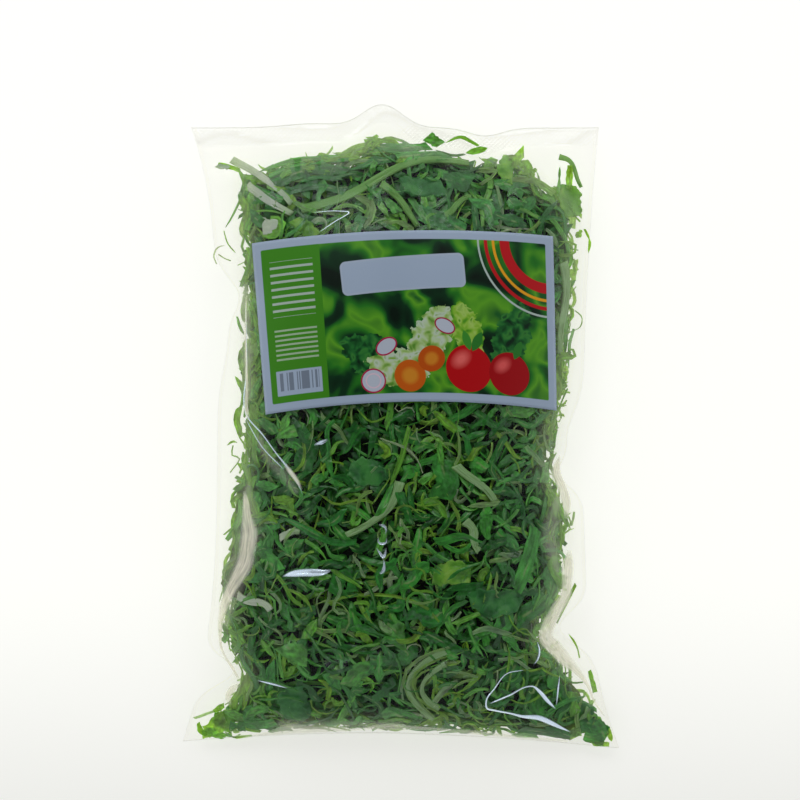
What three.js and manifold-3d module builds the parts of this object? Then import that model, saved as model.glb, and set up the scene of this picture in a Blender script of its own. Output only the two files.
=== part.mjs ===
// A sealed pillow bag of clear film, filled with shredded chicory leaves, lying on its back with
// the label up. Millimetres: +X across the bag, +Y from the bottom fold to the top seal, +Z up.
// The origin is on the surface that the bag lies on, under the middle of the bag.

import * as THREE from 'three';
import { mergeVertices } from 'three/addons/utils/BufferGeometryUtils.js';
import Module from 'manifold-3d';

const wasm = await Module();
wasm.setup();

// ---- Driving dimensions -------------------------------------------------------------------

const filling = {
  frontRise: 34,      // front of the bag above its side welds, at the middle
  weldHeight: 17,     // side welds above the surface, at the middle
  endHeight: 6,       // the same at the top seal and the bottom fold
  endPower: 2.5,      // how far along the welds keep their height
  lieFlat: 0.55,      // share of the full thickness from which the back lies flat
};

const film = {
  wall: 0.6,          // stands in for 0.04 mm film
  flatEdge: 1.8,      // thickness where front and back lie together
  sealBand: 10,
  sideWeld: 2,
  columns: 14,
  rows: 34,
};

const vent = { x: 76, y: 141.5, radius: 1.5, sides: 8 };

// Each side is drawn in at the waist by the filling, and pinched in where the film is creased.
const leftSide = {
  waist: 92,
  top: { x: 105.5, y: 150, power: 4 },
  bottom: { x: 110, y: -158.7, power: 3 },
  pinches: [
    { y: 66, depth: 9, reach: 12 },
    { y: 44, depth: 5, reach: 22 },
    { y: -123, depth: 16, reach: 9 },
  ],
};

const rightSide = {
  waist: 91.5,
  top: { x: 99.5, y: 150, power: 2 },
  bottom: { x: 110, y: -162.2, power: 3.5 },
  pinches: [
    { y: -6, depth: 8, reach: 18 },
    { y: -24, depth: 9, reach: 9 },
    { y: -101, depth: 15, reach: 11 },
  ],
};

const sealEdge = {
  y: 150.5,
  waves: [
    { x: -45, rise: 2.2, reach: 22 },
    { x: -9.5, rise: 12.5, reach: 15 },
    { x: 47, rise: -4, reach: 13 },
  ],
};

const foldEdge = { y: -153.2, highX: -8, leftDrop: 5.5, rightDrop: 9, rightPower: 1.5 };

const pinchPower = 5;       // how little of a pinch reaches inwards from the edge

// How full the bag is, from 1 at the middle to 0 at a weld, across, upwards and downwards.
const across = { limit: 1 - film.sideWeld / leftSide.waist, power: 2.6, edge: 0.85 };
const upwards = { limit: 0.93, power: 3.4, edge: 0.65 };
const downwards = { limit: 0.985, power: 5, edge: 0.6 };

const label = {
  topLeft: [-74.2, 91.2],
  topRight: [75.7, 94.8],
  bottomLeft: [-67, 6],
  bottomRight: [77.4, 8],
  topBow: 4,
  bottomBow: 5.5,
  thickness: 0.6,
  gap: 0.7,
  columns: 14,
  rows: 6,
};

// The mass of shreds: blades larger than life that stand out of a core of the same leaves.
const shreds = {
  coreInset: 7.5,
  coreAcross: 0.8,
  coreTop: 0.85,
  coreBottom: -0.93,
  coreColumns: 8,
  coreRows: 14,
  bladeAcross: 0.89,
  bladeTop: 0.892,
  bladeBottom: -0.958,
  bladeInset: 2.3,
  bladeTurn: 1.4,           // the most that a blade turns along its length, in radians
  tipWidth: 0.7,            // share of its width that a blade keeps at its ends
  layers: 3,
  layerStep: 1.4,
  rootInset: 10,
  rootPower: 3,             // how late a blade turns down into the core
  thickness: 1,
  shortest: 44,
  longest: 70,
  narrowest: 6.5,
  widest: 10.5,
  segments: 3,
  frontColumns: 7,
  frontRows: 12,
  backColumns: 4,
  backRows: 8,
  scatter: 0.6,             // share of its cell over which a blade is placed at random
  seed: 4446,
};

const clearance = 0.4;      // left round each loose piece that lies in the mass

// Pale strips of midrib that lie on the mass, under the front film. Each runs from one point to
// another and bows sideways in between.
const ribStrips = [
  { from: [-85, 134], to: [-54.5, 111], bow: 2, width: 3.4 },
  { from: [-77, 121], to: [-54, 106], bow: -1, width: 4 },
  { from: [-69, 99.8], to: [-59.5, 98.5], bow: 0, width: 9 },
  { from: [-50, 108], to: [34, 131.8], bow: 5, width: 4 },
  { from: [-10, 120.5], to: [8, 99], bow: 2, width: 3.2 },
  { from: [21.6, 104.5], to: [35, 114.5], bow: 1, width: 2.8 },
  { from: [27, -19], to: [46.5, -37], bow: 1, width: 4 },
  { from: [-0.5, -27], to: [-27, -53.5], bow: 5, width: 4 },
  { from: [-60, -55], to: [-50, -51.8], bow: 1, width: 3.5 },
  { from: [22, -111], to: [16.5, -146], bow: -15.5, width: 3.2 },
  { from: [22, -117.5], to: [19, -141], bow: -10, width: 2.4 },
  { from: [81, 82], to: [79, 36], bow: 1.5, width: 3.6 },
  { from: [31.5, -46.5], to: [38.5, -61.5], bow: 1, width: 4 },
  { from: [-81.5, -84], to: [-64.5, -91], bow: 0.5, width: 3.8 },
  { from: [-92, 131.3], to: [-86.5, 129.6], bow: 0, width: 2.6 },
  { from: [79.5, 135.5], to: [90.5, 120], bow: 2.5, width: 2.8 },
];

// Larger flat pieces of leaf blade, with cut and toothed edges.
const leafPieces = [
  { from: [-53, 103], to: [-42, 94.5], width: 7, teeth: 5, colour: 'pale' },
  { from: [53, 136], to: [52, 122.5], width: 8, teeth: 5, colour: 'pale' },
  { from: [84, 121], to: [86, 105], width: 11, teeth: 7, colour: 'pale' },
  { from: [0, 120], to: [21.5, 119], width: 10, teeth: 5, colour: 'deep' },
  { from: [-54.5, -130], to: [-52.5, -147], width: 16, teeth: 5, colour: 'deep' },
  { from: [16, -72], to: [34.5, -72.5], width: 12, teeth: 5, colour: 'pale' },
  { from: [-83, -144], to: [-93.5, -149.5], width: 8.5, teeth: 4, colour: 'pale' },
  { from: [88, -140], to: [97, -150.5], width: 10, teeth: 5, colour: 'deep' },
  { from: [-26, -21.5], to: [-7, -22.5], width: 13, teeth: 4, colour: 'deep' },
  { from: [34, -86.5], to: [59.5, -88], width: 13.5, teeth: 4, colour: 'deep' },
];

const loose = {
  thickness: 1,
  inset: 2.2,
  segments: 5,              // of a strip: a leaf piece has one for each of its teeth
  stripNarrowing: 0.15,
  toothDepth: 0.34,         // share of half the width
  endNarrowing: 0.5,        // more of it towards both ends
  endPower: 3,
  mostNarrowing: 0.7,
};

// ---- Form of the bag ----------------------------------------------------------------------

const bump = (distance, reach) => Math.exp(-((distance / reach) ** 2));
const mix = THREE.MathUtils.lerp;
const sum = (list, value) => list.reduce((total, item) => total + value(item), 0);

function sealY(x) {
  return sealEdge.y + sum(sealEdge.waves, (wave) => wave.rise * bump(x - wave.x, wave.reach));
}

function foldY(x) {
  const offset = x - foldEdge.highX;
  if (offset < 0) {
    return foldEdge.y - foldEdge.leftDrop * (offset / (leftSide.bottom.x + foldEdge.highX)) ** 2;
  }
  const share = offset / (rightSide.bottom.x - foldEdge.highX);
  return foldEdge.y - foldEdge.rightDrop * share ** foldEdge.rightPower;
}

// A place on the bag seen from above: s runs from -1 at the left weld to 1 at the right one, and
// t from -1 at the bottom fold to 1 at the top of the seal.
function plan(s, t) {
  const side = s < 0 ? leftSide : rightSide;
  const nominalX = s * side.bottom.x;
  const y = mix(foldY(nominalX), sealY(nominalX), (t + 1) / 2);
  const end = y > 0 ? side.top : side.bottom;
  const flare = (end.x - side.waist) * (y / end.y) ** end.power;
  const pinch = sum(side.pinches, (crease) => crease.depth * bump(y - crease.y, crease.reach));
  const x = s * (side.waist + flare) - Math.sign(s) * pinch * Math.abs(s) ** pinchPower;
  return { x, y };
}

const placeRounds = 12;

// The s and t of a point given in millimetres, closer with each round.
function placeOf([x, y]) {
  let s = x / leftSide.waist;
  let t = y / sealEdge.y;
  for (let round = 0; round < placeRounds; round += 1) {
    const here = plan(s, t);
    s += (x - here.x) / leftSide.bottom.x;
    t += (y - here.y) / sealEdge.y;
  }
  return { s, t };
}

function fullnessAlong(direction, share, inset, length) {
  const reach = Math.abs(share) / (direction.limit - inset / length);
  return reach < 1 ? (1 - reach ** direction.power) ** direction.edge : 0;
}

function fullness(s, t, inset) {
  const lengthwise = t > 0 ? upwards : downwards;
  return fullnessAlong(across, s, inset, leftSide.waist)
    * fullnessAlong(lengthwise, t, inset, sealEdge.y);
}

// Heights of the front and the back of a skin that lies inset below the outside of the film.
function skin(s, t, inset) {
  const weld = mix(filling.weldHeight, filling.endHeight, Math.abs(t) ** filling.endPower);
  const full = fullness(s, t, inset);
  const half = film.flatEdge / 2 - Math.min(inset, film.wall);
  const deeper = Math.max(inset - film.wall, 0);
  const sink = THREE.MathUtils.smoothstep(full, 0, filling.lieFlat);
  const front = weld + half + filling.frontRise * full - deeper;
  const back = (weld - half) * (1 - sink) + Math.min(inset, film.wall) * sink + deeper;
  return { front, back };
}

// The height of one face of a skin, kept within its own half where the bag is thin.
function faceHeight(s, t, inset, face) {
  const outside = skin(s, t, film.wall);
  const middle = (outside.front + outside.back) / 2;
  const height = skin(s, t, inset)[face];
  return face === 'front' ? Math.max(height, middle) : Math.min(height, middle);
}

// ---- Geometry helpers ---------------------------------------------------------------------

// Moves every vertex of a unit box to the place that the function gives for it.
function mappedBox(columns, rows, place) {
  const geometry = new THREE.BoxGeometry(2, 2, 2, columns, rows, 1);
  const position = geometry.attributes.position;
  for (let i = 0; i < position.count; i += 1) {
    position.setXYZ(i, ...place(position.getX(i), position.getY(i), position.getZ(i)));
  }
  return geometry;
}

// A pillow solid whose faces lie inset below the outside of the film.
function pillow({ inset, left, right, bottom, top, columns, rows }) {
  const thinnest = 0.4;
  return mappedBox(columns, rows, (u, v, w) => {
    const s = mix(left, right, (u + 1) / 2);
    const t = mix(bottom, top, (v + 1) / 2);
    const { x, y } = plan(s, t);
    const { front, back } = skin(s, t, inset);
    const half = Math.max(front - back, thinnest) / 2;
    return [x, y, (front + back) / 2 + w * half];
  });
}

// A closed strip through a list of sections, each with a centre, a half width and two directions.
function stripGeometry(sections, thickness) {
  const points = [];
  const faces = [];
  const corners = [[-1, -1], [1, -1], [1, 1], [-1, 1]];
  sections.forEach(({ centre, sideways, upward, halfWidth }) => {
    corners.forEach(([side, up]) => {
      const point = centre.clone()
        .addScaledVector(sideways, side * halfWidth)
        .addScaledVector(upward, up * thickness / 2);
      points.push(point.x, point.y, point.z);
    });
  });
  for (let section = 0; section < sections.length - 1; section += 1) {
    for (let corner = 0; corner < 4; corner += 1) {
      const next = (corner + 1) % 4;
      const a = section * 4 + corner;
      const b = section * 4 + next;
      faces.push(a, b, b + 4, a, b + 4, a + 4);
    }
  }
  const last = (sections.length - 1) * 4;
  faces.push(0, 3, 2, 0, 2, 1, last, last + 1, last + 2, last, last + 2, last + 3);
  const geometry = new THREE.BufferGeometry();
  geometry.setAttribute('position', new THREE.Float32BufferAttribute(points, 3));
  geometry.setIndex(faces);
  return geometry;
}

// Sections along a path of places on one face of the bag.
function sectionsAlong(path, face) {
  const centres = path.map(({ s, t, inset }) => {
    const { x, y } = plan(s, t);
    return new THREE.Vector3(x, y, faceHeight(s, t, inset, face));
  });
  const step = 0.01;
  return path.map(({ s, t, inset, halfWidth }, i) => {
    const before = centres[Math.max(i - 1, 0)];
    const after = centres[Math.min(i + 1, centres.length - 1)];
    const along = after.clone().sub(before).normalize();
    const there = (ds, dt) => {
      const { x, y } = plan(s + ds, t + dt);
      return new THREE.Vector3(x, y, faceHeight(s + ds, t + dt, inset, face));
    };
    const outward = there(step, 0).sub(there(-step, 0))
      .cross(there(0, step).sub(there(0, -step)))
      .normalize();
    const sideways = outward.clone().cross(along).normalize();
    return { centre: centres[i], sideways, upward: along.clone().cross(sideways), halfWidth };
  });
}

function toSolid(geometry) {
  const plain = geometry.clone();
  plain.deleteAttribute('normal');
  plain.deleteAttribute('uv');
  const merged = mergeVertices(plain, 1e-4);
  return new wasm.Manifold(new wasm.Mesh({
    numProp: 3,
    vertProperties: new Float32Array(merged.attributes.position.array),
    triVerts: new Uint32Array(merged.index.array),
  }));
}

function toGeometry(solid) {
  const mesh = solid.getMesh();
  const geometry = new THREE.BufferGeometry();
  geometry.setAttribute('position', new THREE.BufferAttribute(mesh.vertProperties, 3));
  geometry.setIndex(new THREE.BufferAttribute(mesh.triVerts, 1));
  geometry.computeVertexNormals();
  return geometry;
}

// The largest body of a solid: loose scraps and sealed hollows are left behind.
function largestBody(solid) {
  return solid.decompose().sort((a, b) => b.volume() - a.volume())[0];
}

// ---- Pieces -------------------------------------------------------------------------------

// The space inside the film, or a smaller one that keeps spare clear of it.
function cavity(spare = 0) {
  return toSolid(pillow({
    inset: film.wall + spare,
    left: -across.limit,
    right: across.limit,
    bottom: -downwards.limit,
    top: 1 - 2 * film.sealBand / (sealEdge.y - foldEdge.y),
    columns: film.columns,
    rows: film.rows,
  }));
}

function bagFilm() {
  const outside = toSolid(pillow({
    inset: 0,
    left: -1,
    right: 1,
    bottom: -1,
    top: 1,
    columns: film.columns,
    rows: film.rows,
  }));
  const place = placeOf([vent.x, vent.y]);
  const height = skin(place.s, place.t, 0).front;
  const punch = new THREE.CylinderGeometry(vent.radius, vent.radius, 2 * film.flatEdge, vent.sides);
  punch.rotateX(Math.PI / 2);
  punch.translate(vent.x, vent.y, height + film.flatEdge / 2);
  return toGeometry(outside.subtract(cavity()).subtract(toSolid(punch)));
}

function labelPlate() {
  return mappedBox(label.columns, label.rows, (u, v, w) => {
    const share = (u + 1) / 2;
    const bow = 1 - u * u;
    const edge = (left, right, rise) => [
      mix(left[0], right[0], share),
      mix(left[1], right[1], share) + rise * bow,
    ];
    const low = edge(label.bottomLeft, label.bottomRight, label.bottomBow);
    const high = edge(label.topLeft, label.topRight, label.topBow);
    const x = mix(low[0], high[0], (v + 1) / 2);
    const y = mix(low[1], high[1], (v + 1) / 2);
    const { s, t } = placeOf([x, y]);
    return [x, y, skin(s, t, 0).front + label.gap + label.thickness * (w + 1) / 2];
  });
}

// Repeatable random numbers from 0 to 1.
function randomFrom(seed) {
  let state = seed;
  return () => {
    state = (Math.imul(state, 1664525) + 1013904223) >>> 0;
    return state / 2 ** 32;
  };
}

function inMass({ s, t, ...rest }) {
  const { clamp } = THREE.MathUtils;
  return {
    s: clamp(s, -shreds.bladeAcross, shreds.bladeAcross),
    t: clamp(t, shreds.bladeBottom, shreds.bladeTop),
    ...rest,
  };
}

// A blade starts in the core, rises to lie under the film and goes back into the core.
function blade(face, s, t, layer, random) {
  const halfLength = mix(shreds.shortest, shreds.longest, random()) / 2;
  const halfWidth = mix(shreds.narrowest, shreds.widest, random()) / 2;
  const heading = random() * Math.PI;
  const turn = (random() - 0.5) * shreds.bladeTurn;
  const inset = shreds.bladeInset + layer * shreds.layerStep;
  const path = [];
  for (let i = 0; i <= shreds.segments; i += 1) {
    const share = 2 * i / shreds.segments - 1;
    const direction = heading + turn * share;
    path.push(inMass({
      s: s + share * halfLength * Math.cos(direction) / leftSide.waist,
      t: t + share * halfLength * Math.sin(direction) / sealEdge.y,
      inset: mix(inset, shreds.rootInset, Math.abs(share) ** shreds.rootPower),
      halfWidth: halfWidth * mix(1, shreds.tipWidth, Math.abs(share)),
    }));
  }
  return stripGeometry(sectionsAlong(path, face), shreds.thickness);
}

function bladesOn(face, columns, rows, random) {
  const blades = [];
  for (let row = 0; row < rows; row += 1) {
    for (let column = 0; column < columns; column += 1) {
      const u = (column + 0.5 + shreds.scatter * (random() - 0.5)) / columns;
      const v = (row + 0.5 + shreds.scatter * (random() - 0.5)) / rows;
      const s = mix(-shreds.coreAcross, shreds.coreAcross, u);
      const t = mix(shreds.coreBottom, shreds.coreTop, v);
      const layer = (column + 2 * row) % shreds.layers;
      blades.push(toSolid(blade(face, s, t, layer, random)));
    }
  }
  return blades;
}

// A loose piece under the front film: spare is added to it all round.
function loosePiece({ from, to, bow = 0, width, teeth = 0 }, spare = 0) {
  const segments = teeth || loose.segments;
  const start = new THREE.Vector2(...from);
  const end = new THREE.Vector2(...to);
  const run = end.clone().sub(start);
  const aside = new THREE.Vector2(-run.y, run.x).normalize();
  const grown = spare / run.length();
  const path = [];
  for (let i = 0; i <= segments; i += 1) {
    const share = mix(-grown, 1 + grown, i / segments);
    const point = start.clone()
      .addScaledVector(run, share)
      .addScaledVector(aside, bow * 4 * share * (1 - share));
    const tooth = i % 2 ? loose.toothDepth : 0;
    const ending = loose.endNarrowing * Math.abs(2 * share - 1) ** loose.endPower;
    const narrowing = teeth ? Math.min(tooth + ending, loose.mostNarrowing) : loose.stripNarrowing;
    path.push({
      ...placeOf([point.x, point.y]),
      inset: loose.inset,
      halfWidth: width / 2 * (1 - narrowing) + spare,
    });
  }
  return stripGeometry(sectionsAlong(path, 'front'), loose.thickness + 2 * spare);
}

function shreddedMass(pieces) {
  const random = randomFrom(shreds.seed);
  const core = toSolid(pillow({
    inset: shreds.coreInset,
    left: -shreds.coreAcross,
    right: shreds.coreAcross,
    bottom: shreds.coreBottom,
    top: shreds.coreTop,
    columns: shreds.coreColumns,
    rows: shreds.coreRows,
  }));
  const blades = [
    ...bladesOn('front', shreds.frontColumns, shreds.frontRows, random),
    ...bladesOn('back', shreds.backColumns, shreds.backRows, random),
  ];
  const room = wasm.Manifold.union(pieces.map((piece) => toSolid(loosePiece(piece, clearance))));
  const mass = largestBody(wasm.Manifold.union([core, ...blades]));
  return toGeometry(largestBody(mass.subtract(room).intersect(cavity(clearance))));
}

// ---- Assembly -----------------------------------------------------------------------------

const colours = {
  film: 0xe6ebe9,
  label: 0x5f8f3c,
  shreds: 0x2f6427,
  rib: 0xc3cda4,
  pale: 0x9dbb5a,
  deep: 0x2c5c28,
};

const group = new THREE.Group();

function add(name, geometry, colour, roughness, opacity = 1) {
  const material = new THREE.MeshStandardMaterial({
    color: colour,
    roughness,
    metalness: 0,
    opacity,
    transparent: opacity < 1,
  });
  const mesh = new THREE.Mesh(geometry, material);
  mesh.name = name;
  group.add(mesh);
}

const numbered = (stem, index) => `${stem}_${String(index + 1).padStart(2, '0')}`;

add('film_bag', bagFilm(), colours.film, 0.12, 0.3);
add('label', labelPlate(), colours.label, 0.45);
add('shredded_leaves', shreddedMass([...ribStrips, ...leafPieces]), colours.shreds, 0.6);
ribStrips.forEach((piece, index) => {
  add(numbered('rib_strip', index), loosePiece(piece), colours.rib, 0.5);
});
leafPieces.forEach((piece, index) => {
  add(numbered('leaf_piece', index), loosePiece(piece), colours[piece.colour], 0.55);
});

export default group;
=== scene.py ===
# A sealed pillow bag of shredded chicory leaves, lying on its back on a pale floor.
import math
import bmesh
import bpy
import numpy as np
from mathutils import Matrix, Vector, noise


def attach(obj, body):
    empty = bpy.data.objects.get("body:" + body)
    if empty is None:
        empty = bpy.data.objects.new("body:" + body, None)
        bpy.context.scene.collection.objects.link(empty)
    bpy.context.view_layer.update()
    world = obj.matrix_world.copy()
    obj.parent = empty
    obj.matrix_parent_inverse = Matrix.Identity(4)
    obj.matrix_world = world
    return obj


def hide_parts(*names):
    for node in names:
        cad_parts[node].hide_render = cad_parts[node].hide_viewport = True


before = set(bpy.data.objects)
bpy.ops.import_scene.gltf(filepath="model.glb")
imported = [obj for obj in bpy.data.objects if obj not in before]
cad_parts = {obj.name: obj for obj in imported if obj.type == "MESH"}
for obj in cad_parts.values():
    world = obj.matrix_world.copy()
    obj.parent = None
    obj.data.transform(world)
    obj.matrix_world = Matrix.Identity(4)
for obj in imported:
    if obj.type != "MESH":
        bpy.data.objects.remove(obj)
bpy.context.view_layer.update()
mm = 0.001
print("frame loaded:", len(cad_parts), "nodes")


# form of the bag, in millimetres
bagForm = {
    "frontRise": 34,        # front above the side welds at the middle
    "weldHeight": 17,       # side welds above the floor at the middle
    "endHeight": 6,
    "endPower": 2.5,
    "lieFlat": 0.55,        # share of the full thickness from which the back lies flat
    "sealY": 150.5,
    "sealWaves": [(-45, 2.2, 22), (-9.5, 11.5, 14), (47, -4, 13)],
    "foldY": -154.8,
    "foldHighX": -8,
    "foldDrops": (3.9, 7.4),
    "across": (0.978, 2.6, 0.85),      # where the filling ends, how it rounds off
    "upwards": (0.93, 3.4, 0.65),
    "downwards": (0.995, 5, 0.6),
    "sealBand": 10,
    "cornerX": 110,
    "halfWidth": 92,
    "firstTop": 150,        # where the search for a place on the bag starts, and how it steps
    "searchSteps": 14,
    "searchReach": (110, 155),
}
sideForm = {
    "left": {
        "waist": 92, "top": (105.5, 150, 4), "bottom": (110, -158.7, 3),
        "pinches": [(66, 9, 12), (44, 5, 22), (-123, 16, 9)],
    },
    "right": {
        "waist": 91.5, "top": (99.5, 150, 2), "bottom": (110, -162.2, 3.5),
        "pinches": [(-6, 8, 18), (-24, 9, 9), (-101, 15, 11)],
    },
}


def bump(distance, reach):
    return np.exp(-((distance / reach) ** 2))


def smooth(value, low, high):
    share = np.clip((value - low) / (high - low), 0, 1)
    return share * share * (3 - 2 * share)


def sealEdgeY(x):
    return bagForm["sealY"] + sum(rise * bump(x - at, reach) for at, rise, reach in bagForm["sealWaves"])


def foldEdgeY(x):
    offset = x - bagForm["foldHighX"]
    leftDrop, rightDrop = bagForm["foldDrops"]
    left = leftDrop * (np.minimum(offset, 0) / (bagForm["cornerX"] + bagForm["foldHighX"])) ** 2
    right = rightDrop * (np.maximum(offset, 0) / (bagForm["cornerX"] - bagForm["foldHighX"])) ** 1.5
    return bagForm["foldY"] - left - right


# half width of one side of the bag, and how far the weld is pinched in there
def halfWidthAt(y, side):
    form = sideForm[side]
    topX, topY, topPower = form["top"]
    lowX, lowY, lowPower = form["bottom"]
    flare = np.where(
        y > 0,
        (topX - form["waist"]) * np.clip(y / topY, 0, 1.2) ** topPower,
        (lowX - form["waist"]) * np.clip(y / lowY, 0, 1.2) ** lowPower,
    )
    pinch = sum(depth * bump(y - at, reach) for at, depth, reach in form["pinches"])
    return form["waist"] + flare, pinch


# s runs from -1 at the left weld to 1 at the right one, t from -1 at the fold to 1 at the seal's top
def planOf(s, t):
    nominalX = s * bagForm["cornerX"]
    low, high = foldEdgeY(nominalX), sealEdgeY(nominalX)
    y = low + (high - low) * (t + 1) / 2
    leftHalf, leftPinch = halfWidthAt(y, "left")
    rightHalf, rightPinch = halfWidthAt(y, "right")
    half = np.where(s < 0, leftHalf, rightHalf)
    pinch = np.where(s < 0, leftPinch, rightPinch)
    return s * half - np.sign(s) * pinch * np.abs(s) ** 5, y


# the s and t of places in the plan, found step by step
def placeOf(x, y):
    s, t = x / bagForm["halfWidth"], y / bagForm["firstTop"]
    reachX, reachY = bagForm["searchReach"]
    for _ in range(bagForm["searchSteps"]):
        hereX, hereY = planOf(s, t)
        s = np.clip(s + (x - hereX) / reachX, -1.3, 1.3)
        t = np.clip(t + (y - hereY) / reachY, -1.2, 1.2)
    return s, t


# how full the bag is along one way across it, from 1 in the middle to 0 where the filling ends
def fullnessAlong(form, share, inset, length):
    limit, power, edge = form
    reach = np.minimum(np.abs(share) / (limit - inset / length), 1)
    return (1 - reach ** power) ** edge


def fullnessAt(s, t, inset):
    upper, lower = [fullnessAlong(bagForm[way], t, inset, bagForm["sealY"])
                    for way in ("upwards", "downwards")]
    return np.where(t > 0, upper, lower) * fullnessAlong(bagForm["across"], s, inset, bagForm["halfWidth"])


# heights of the front and back faces of a skin that lies inset below the outside of the film
def skinAt(s, t, inset):
    drop = bagForm["endHeight"] - bagForm["weldHeight"]
    weld = bagForm["weldHeight"] + drop * np.abs(t) ** bagForm["endPower"]
    full = fullnessAt(s, t, inset)
    sink = smooth(full, 0, bagForm["lieFlat"])
    front = weld + bagForm["frontRise"] * full - inset
    back = weld * (1 - sink) + inset
    middle = (front + back) / 2
    return np.maximum(front, middle), np.minimum(back, middle)


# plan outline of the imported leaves
packOutline = [
    (-80.5, 132), (-68.5, 130), (-48.5, 134.5), (-33, 136), (-22, 141), (-15, 145), (0, 145), (13, 147),
    (23, 144.5), (39.5, 140.5), (50.5, 141), (60, 137), (64, 129), (75, 121.5), (88, 112), (88, 98),
    (88, 70), (87, 48), (81, 15), (77, -7), (75.5, -24), (84.5, -47), (81.5, -62), (81.5, -78), (77.5, -92),
    (73, -102), (84, -118), (99.5, -137), (104.5, -158), (88, -159), (55, -155.5), (10, -152.8),
    (-40, -152.2), (-80, -153), (-92, -153.5), (-86.5, -140), (-81, -127), (-88, -110), (-91.5, -97),
    (-86.5, -62), (-82, -35), (-79, -12), (-79, 40), (-79, 88), (-82, 103),
]


# distance from the line between two points, and the share of the line that lies before the nearest place
def fromLine(x, y, start, end):
    dx, dy = end[0] - start[0], end[1] - start[1]
    share = np.clip(((x - start[0]) * dx + (y - start[1]) * dy) / (dx * dx + dy * dy), 0, 1)
    return np.hypot(x - start[0] - share * dx, y - start[1] - share * dy), share


# the same for each stretch of a run, with the run's half width at the nearest place
def fromRun(x, y, points):
    for start, end in zip(points, points[1:]):
        distance, share = fromLine(x, y, start, end)
        yield distance, start[2] + (end[2] - start[2]) * share


# distance from the outline, positive inside
def outlineDistance(x, y):
    nearest = np.full(x.shape, 1e9)
    inside = np.zeros(x.shape, bool)
    for start, end in zip(packOutline, packOutline[1:] + packOutline[:1]):
        nearest = np.minimum(nearest, fromLine(x, y, start, end)[0])
        (x0, y0), (x1, y1) = start, end
        if y0 != y1:
            inside ^= ((y0 > y) != (y1 > y)) & (x < (x1 - x0) * (y - y0) / (y1 - y0) + x0)
    return np.where(inside, nearest, -nearest)


def newObject(name, data):
    made = bpy.data.objects.new(name, data)
    bpy.context.scene.collection.objects.link(made)
    return made


def newPiece(name, bm, smoothFaces=True):
    mesh = bpy.data.meshes.new(name)
    bm.to_mesh(mesh)
    bm.free()
    piece = newObject(name, mesh)
    mesh.polygons.foreach_set("use_smooth", [smoothFaces] * len(mesh.polygons))
    return piece


def newGrid(columns, rows, size=1):
    bm = bmesh.new()
    bmesh.ops.create_grid(bm, x_segments=columns, y_segments=rows, size=size)
    return bm


# a second layer of a flat grid, one unit lower and facing down
def addBack(bm):
    made = bmesh.ops.duplicate(bm, geom=list(bm.verts) + list(bm.edges) + list(bm.faces))["geom"]
    verts = [item for item in made if isinstance(item, bmesh.types.BMVert)]
    bmesh.ops.translate(bm, verts=verts, vec=(0, 0, -1))
    bmesh.ops.reverse_faces(bm, faces=[item for item in made if isinstance(item, bmesh.types.BMFace)])


# one long grid cut into separate strips, each with its own number of rows
def stripSheet(name, rows, columns):
    bm = newGrid(columns - 1, sum(rows) - 1)
    order = sorted(bm.verts, key=lambda vert: (round(vert.co.y, 7), vert.co.x))
    for index, vert in enumerate(order):
        vert.index = index
    bm.verts.sort()
    lastRows = set(np.cumsum(rows) - 1)
    between = [face for face in bm.faces if min(vert.index // columns for vert in face.verts) in lastRows]
    bmesh.ops.delete(bm, geom=between, context="FACES_ONLY")
    bmesh.ops.delete(bm, geom=[edge for edge in bm.edges if not edge.link_faces], context="EDGES")
    # cut edges stay crisp once the sheet is given its thickness
    for edge in bm.edges:
        edge.smooth = len(edge.link_faces) != 1
    return newPiece(name, bm)


def pointsOf(piece):
    points = np.empty(len(piece.data.vertices) * 3)
    piece.data.vertices.foreach_get("co", points)
    return points.reshape(-1, 3)


# moves the vertices to places given in millimetres
def movePoints(piece, x, y, z):
    points = np.stack([x, y, z], axis=-1) * mm
    piece.data.vertices.foreach_set("co", np.asarray(points, dtype=np.float32).ravel())
    piece.data.update()


# a number for each vertex that a material reads by its name
def setVertexValue(piece, name, values):
    attribute = piece.data.attributes.new(name, "FLOAT", "POINT")
    attribute.data.foreach_set("value", np.asarray(values, dtype=np.float32).ravel())


def setMap(piece, places):
    loops = np.empty(len(piece.data.loops), dtype=np.int32)
    piece.data.loops.foreach_get("vertex_index", loops)
    layer = piece.data.uv_layers.new(name="OFBake")
    layer.uv.foreach_set("vector", np.asarray(places, dtype=np.float32)[loops].ravel())


def thicken(piece, name, thickness, offset):
    solid = piece.modifiers.new(name, "SOLIDIFY")
    solid.thickness = thickness * mm
    solid.offset = offset


# an sRGB hex colour as the linear one that a material takes
def linear(hexColour):
    parts = [int(hexColour[i:i + 2], 16) / 255 for i in (0, 2, 4)]
    return tuple(p / 12.92 if p <= 0.04045 else ((p + 0.055) / 1.055) ** 2.4 for p in parts) + (1.0,)


def newMaterial(name):
    material = bpy.data.materials.new(name)
    material.use_nodes = True
    material.node_tree.nodes.clear()
    return material, material.node_tree


# adds a node; an input is a number, a colour, a socket, or a node, which gives its first live output
def addNode(tree, kind, inputs=None, **settings):
    node = tree.nodes.new("ShaderNode" + kind)
    for key, value in settings.items():
        setattr(node, key, value)
    for key, value in (inputs or {}).items():
        if isinstance(value, bpy.types.Node):
            value = next(output for output in value.outputs if output.enabled)
        if isinstance(value, bpy.types.NodeSocket):
            tree.links.new(value, node.inputs[key])
        else:
            node.inputs[key].default_value = value
    return node


def setStops(ramp, stops):
    elements = ramp.color_ramp.elements
    while len(elements) < len(stops):
        elements.new(0.5)
    for element, (position, colour) in zip(elements, stops):
        element.position = position
        element.color = linear(colour)


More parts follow.
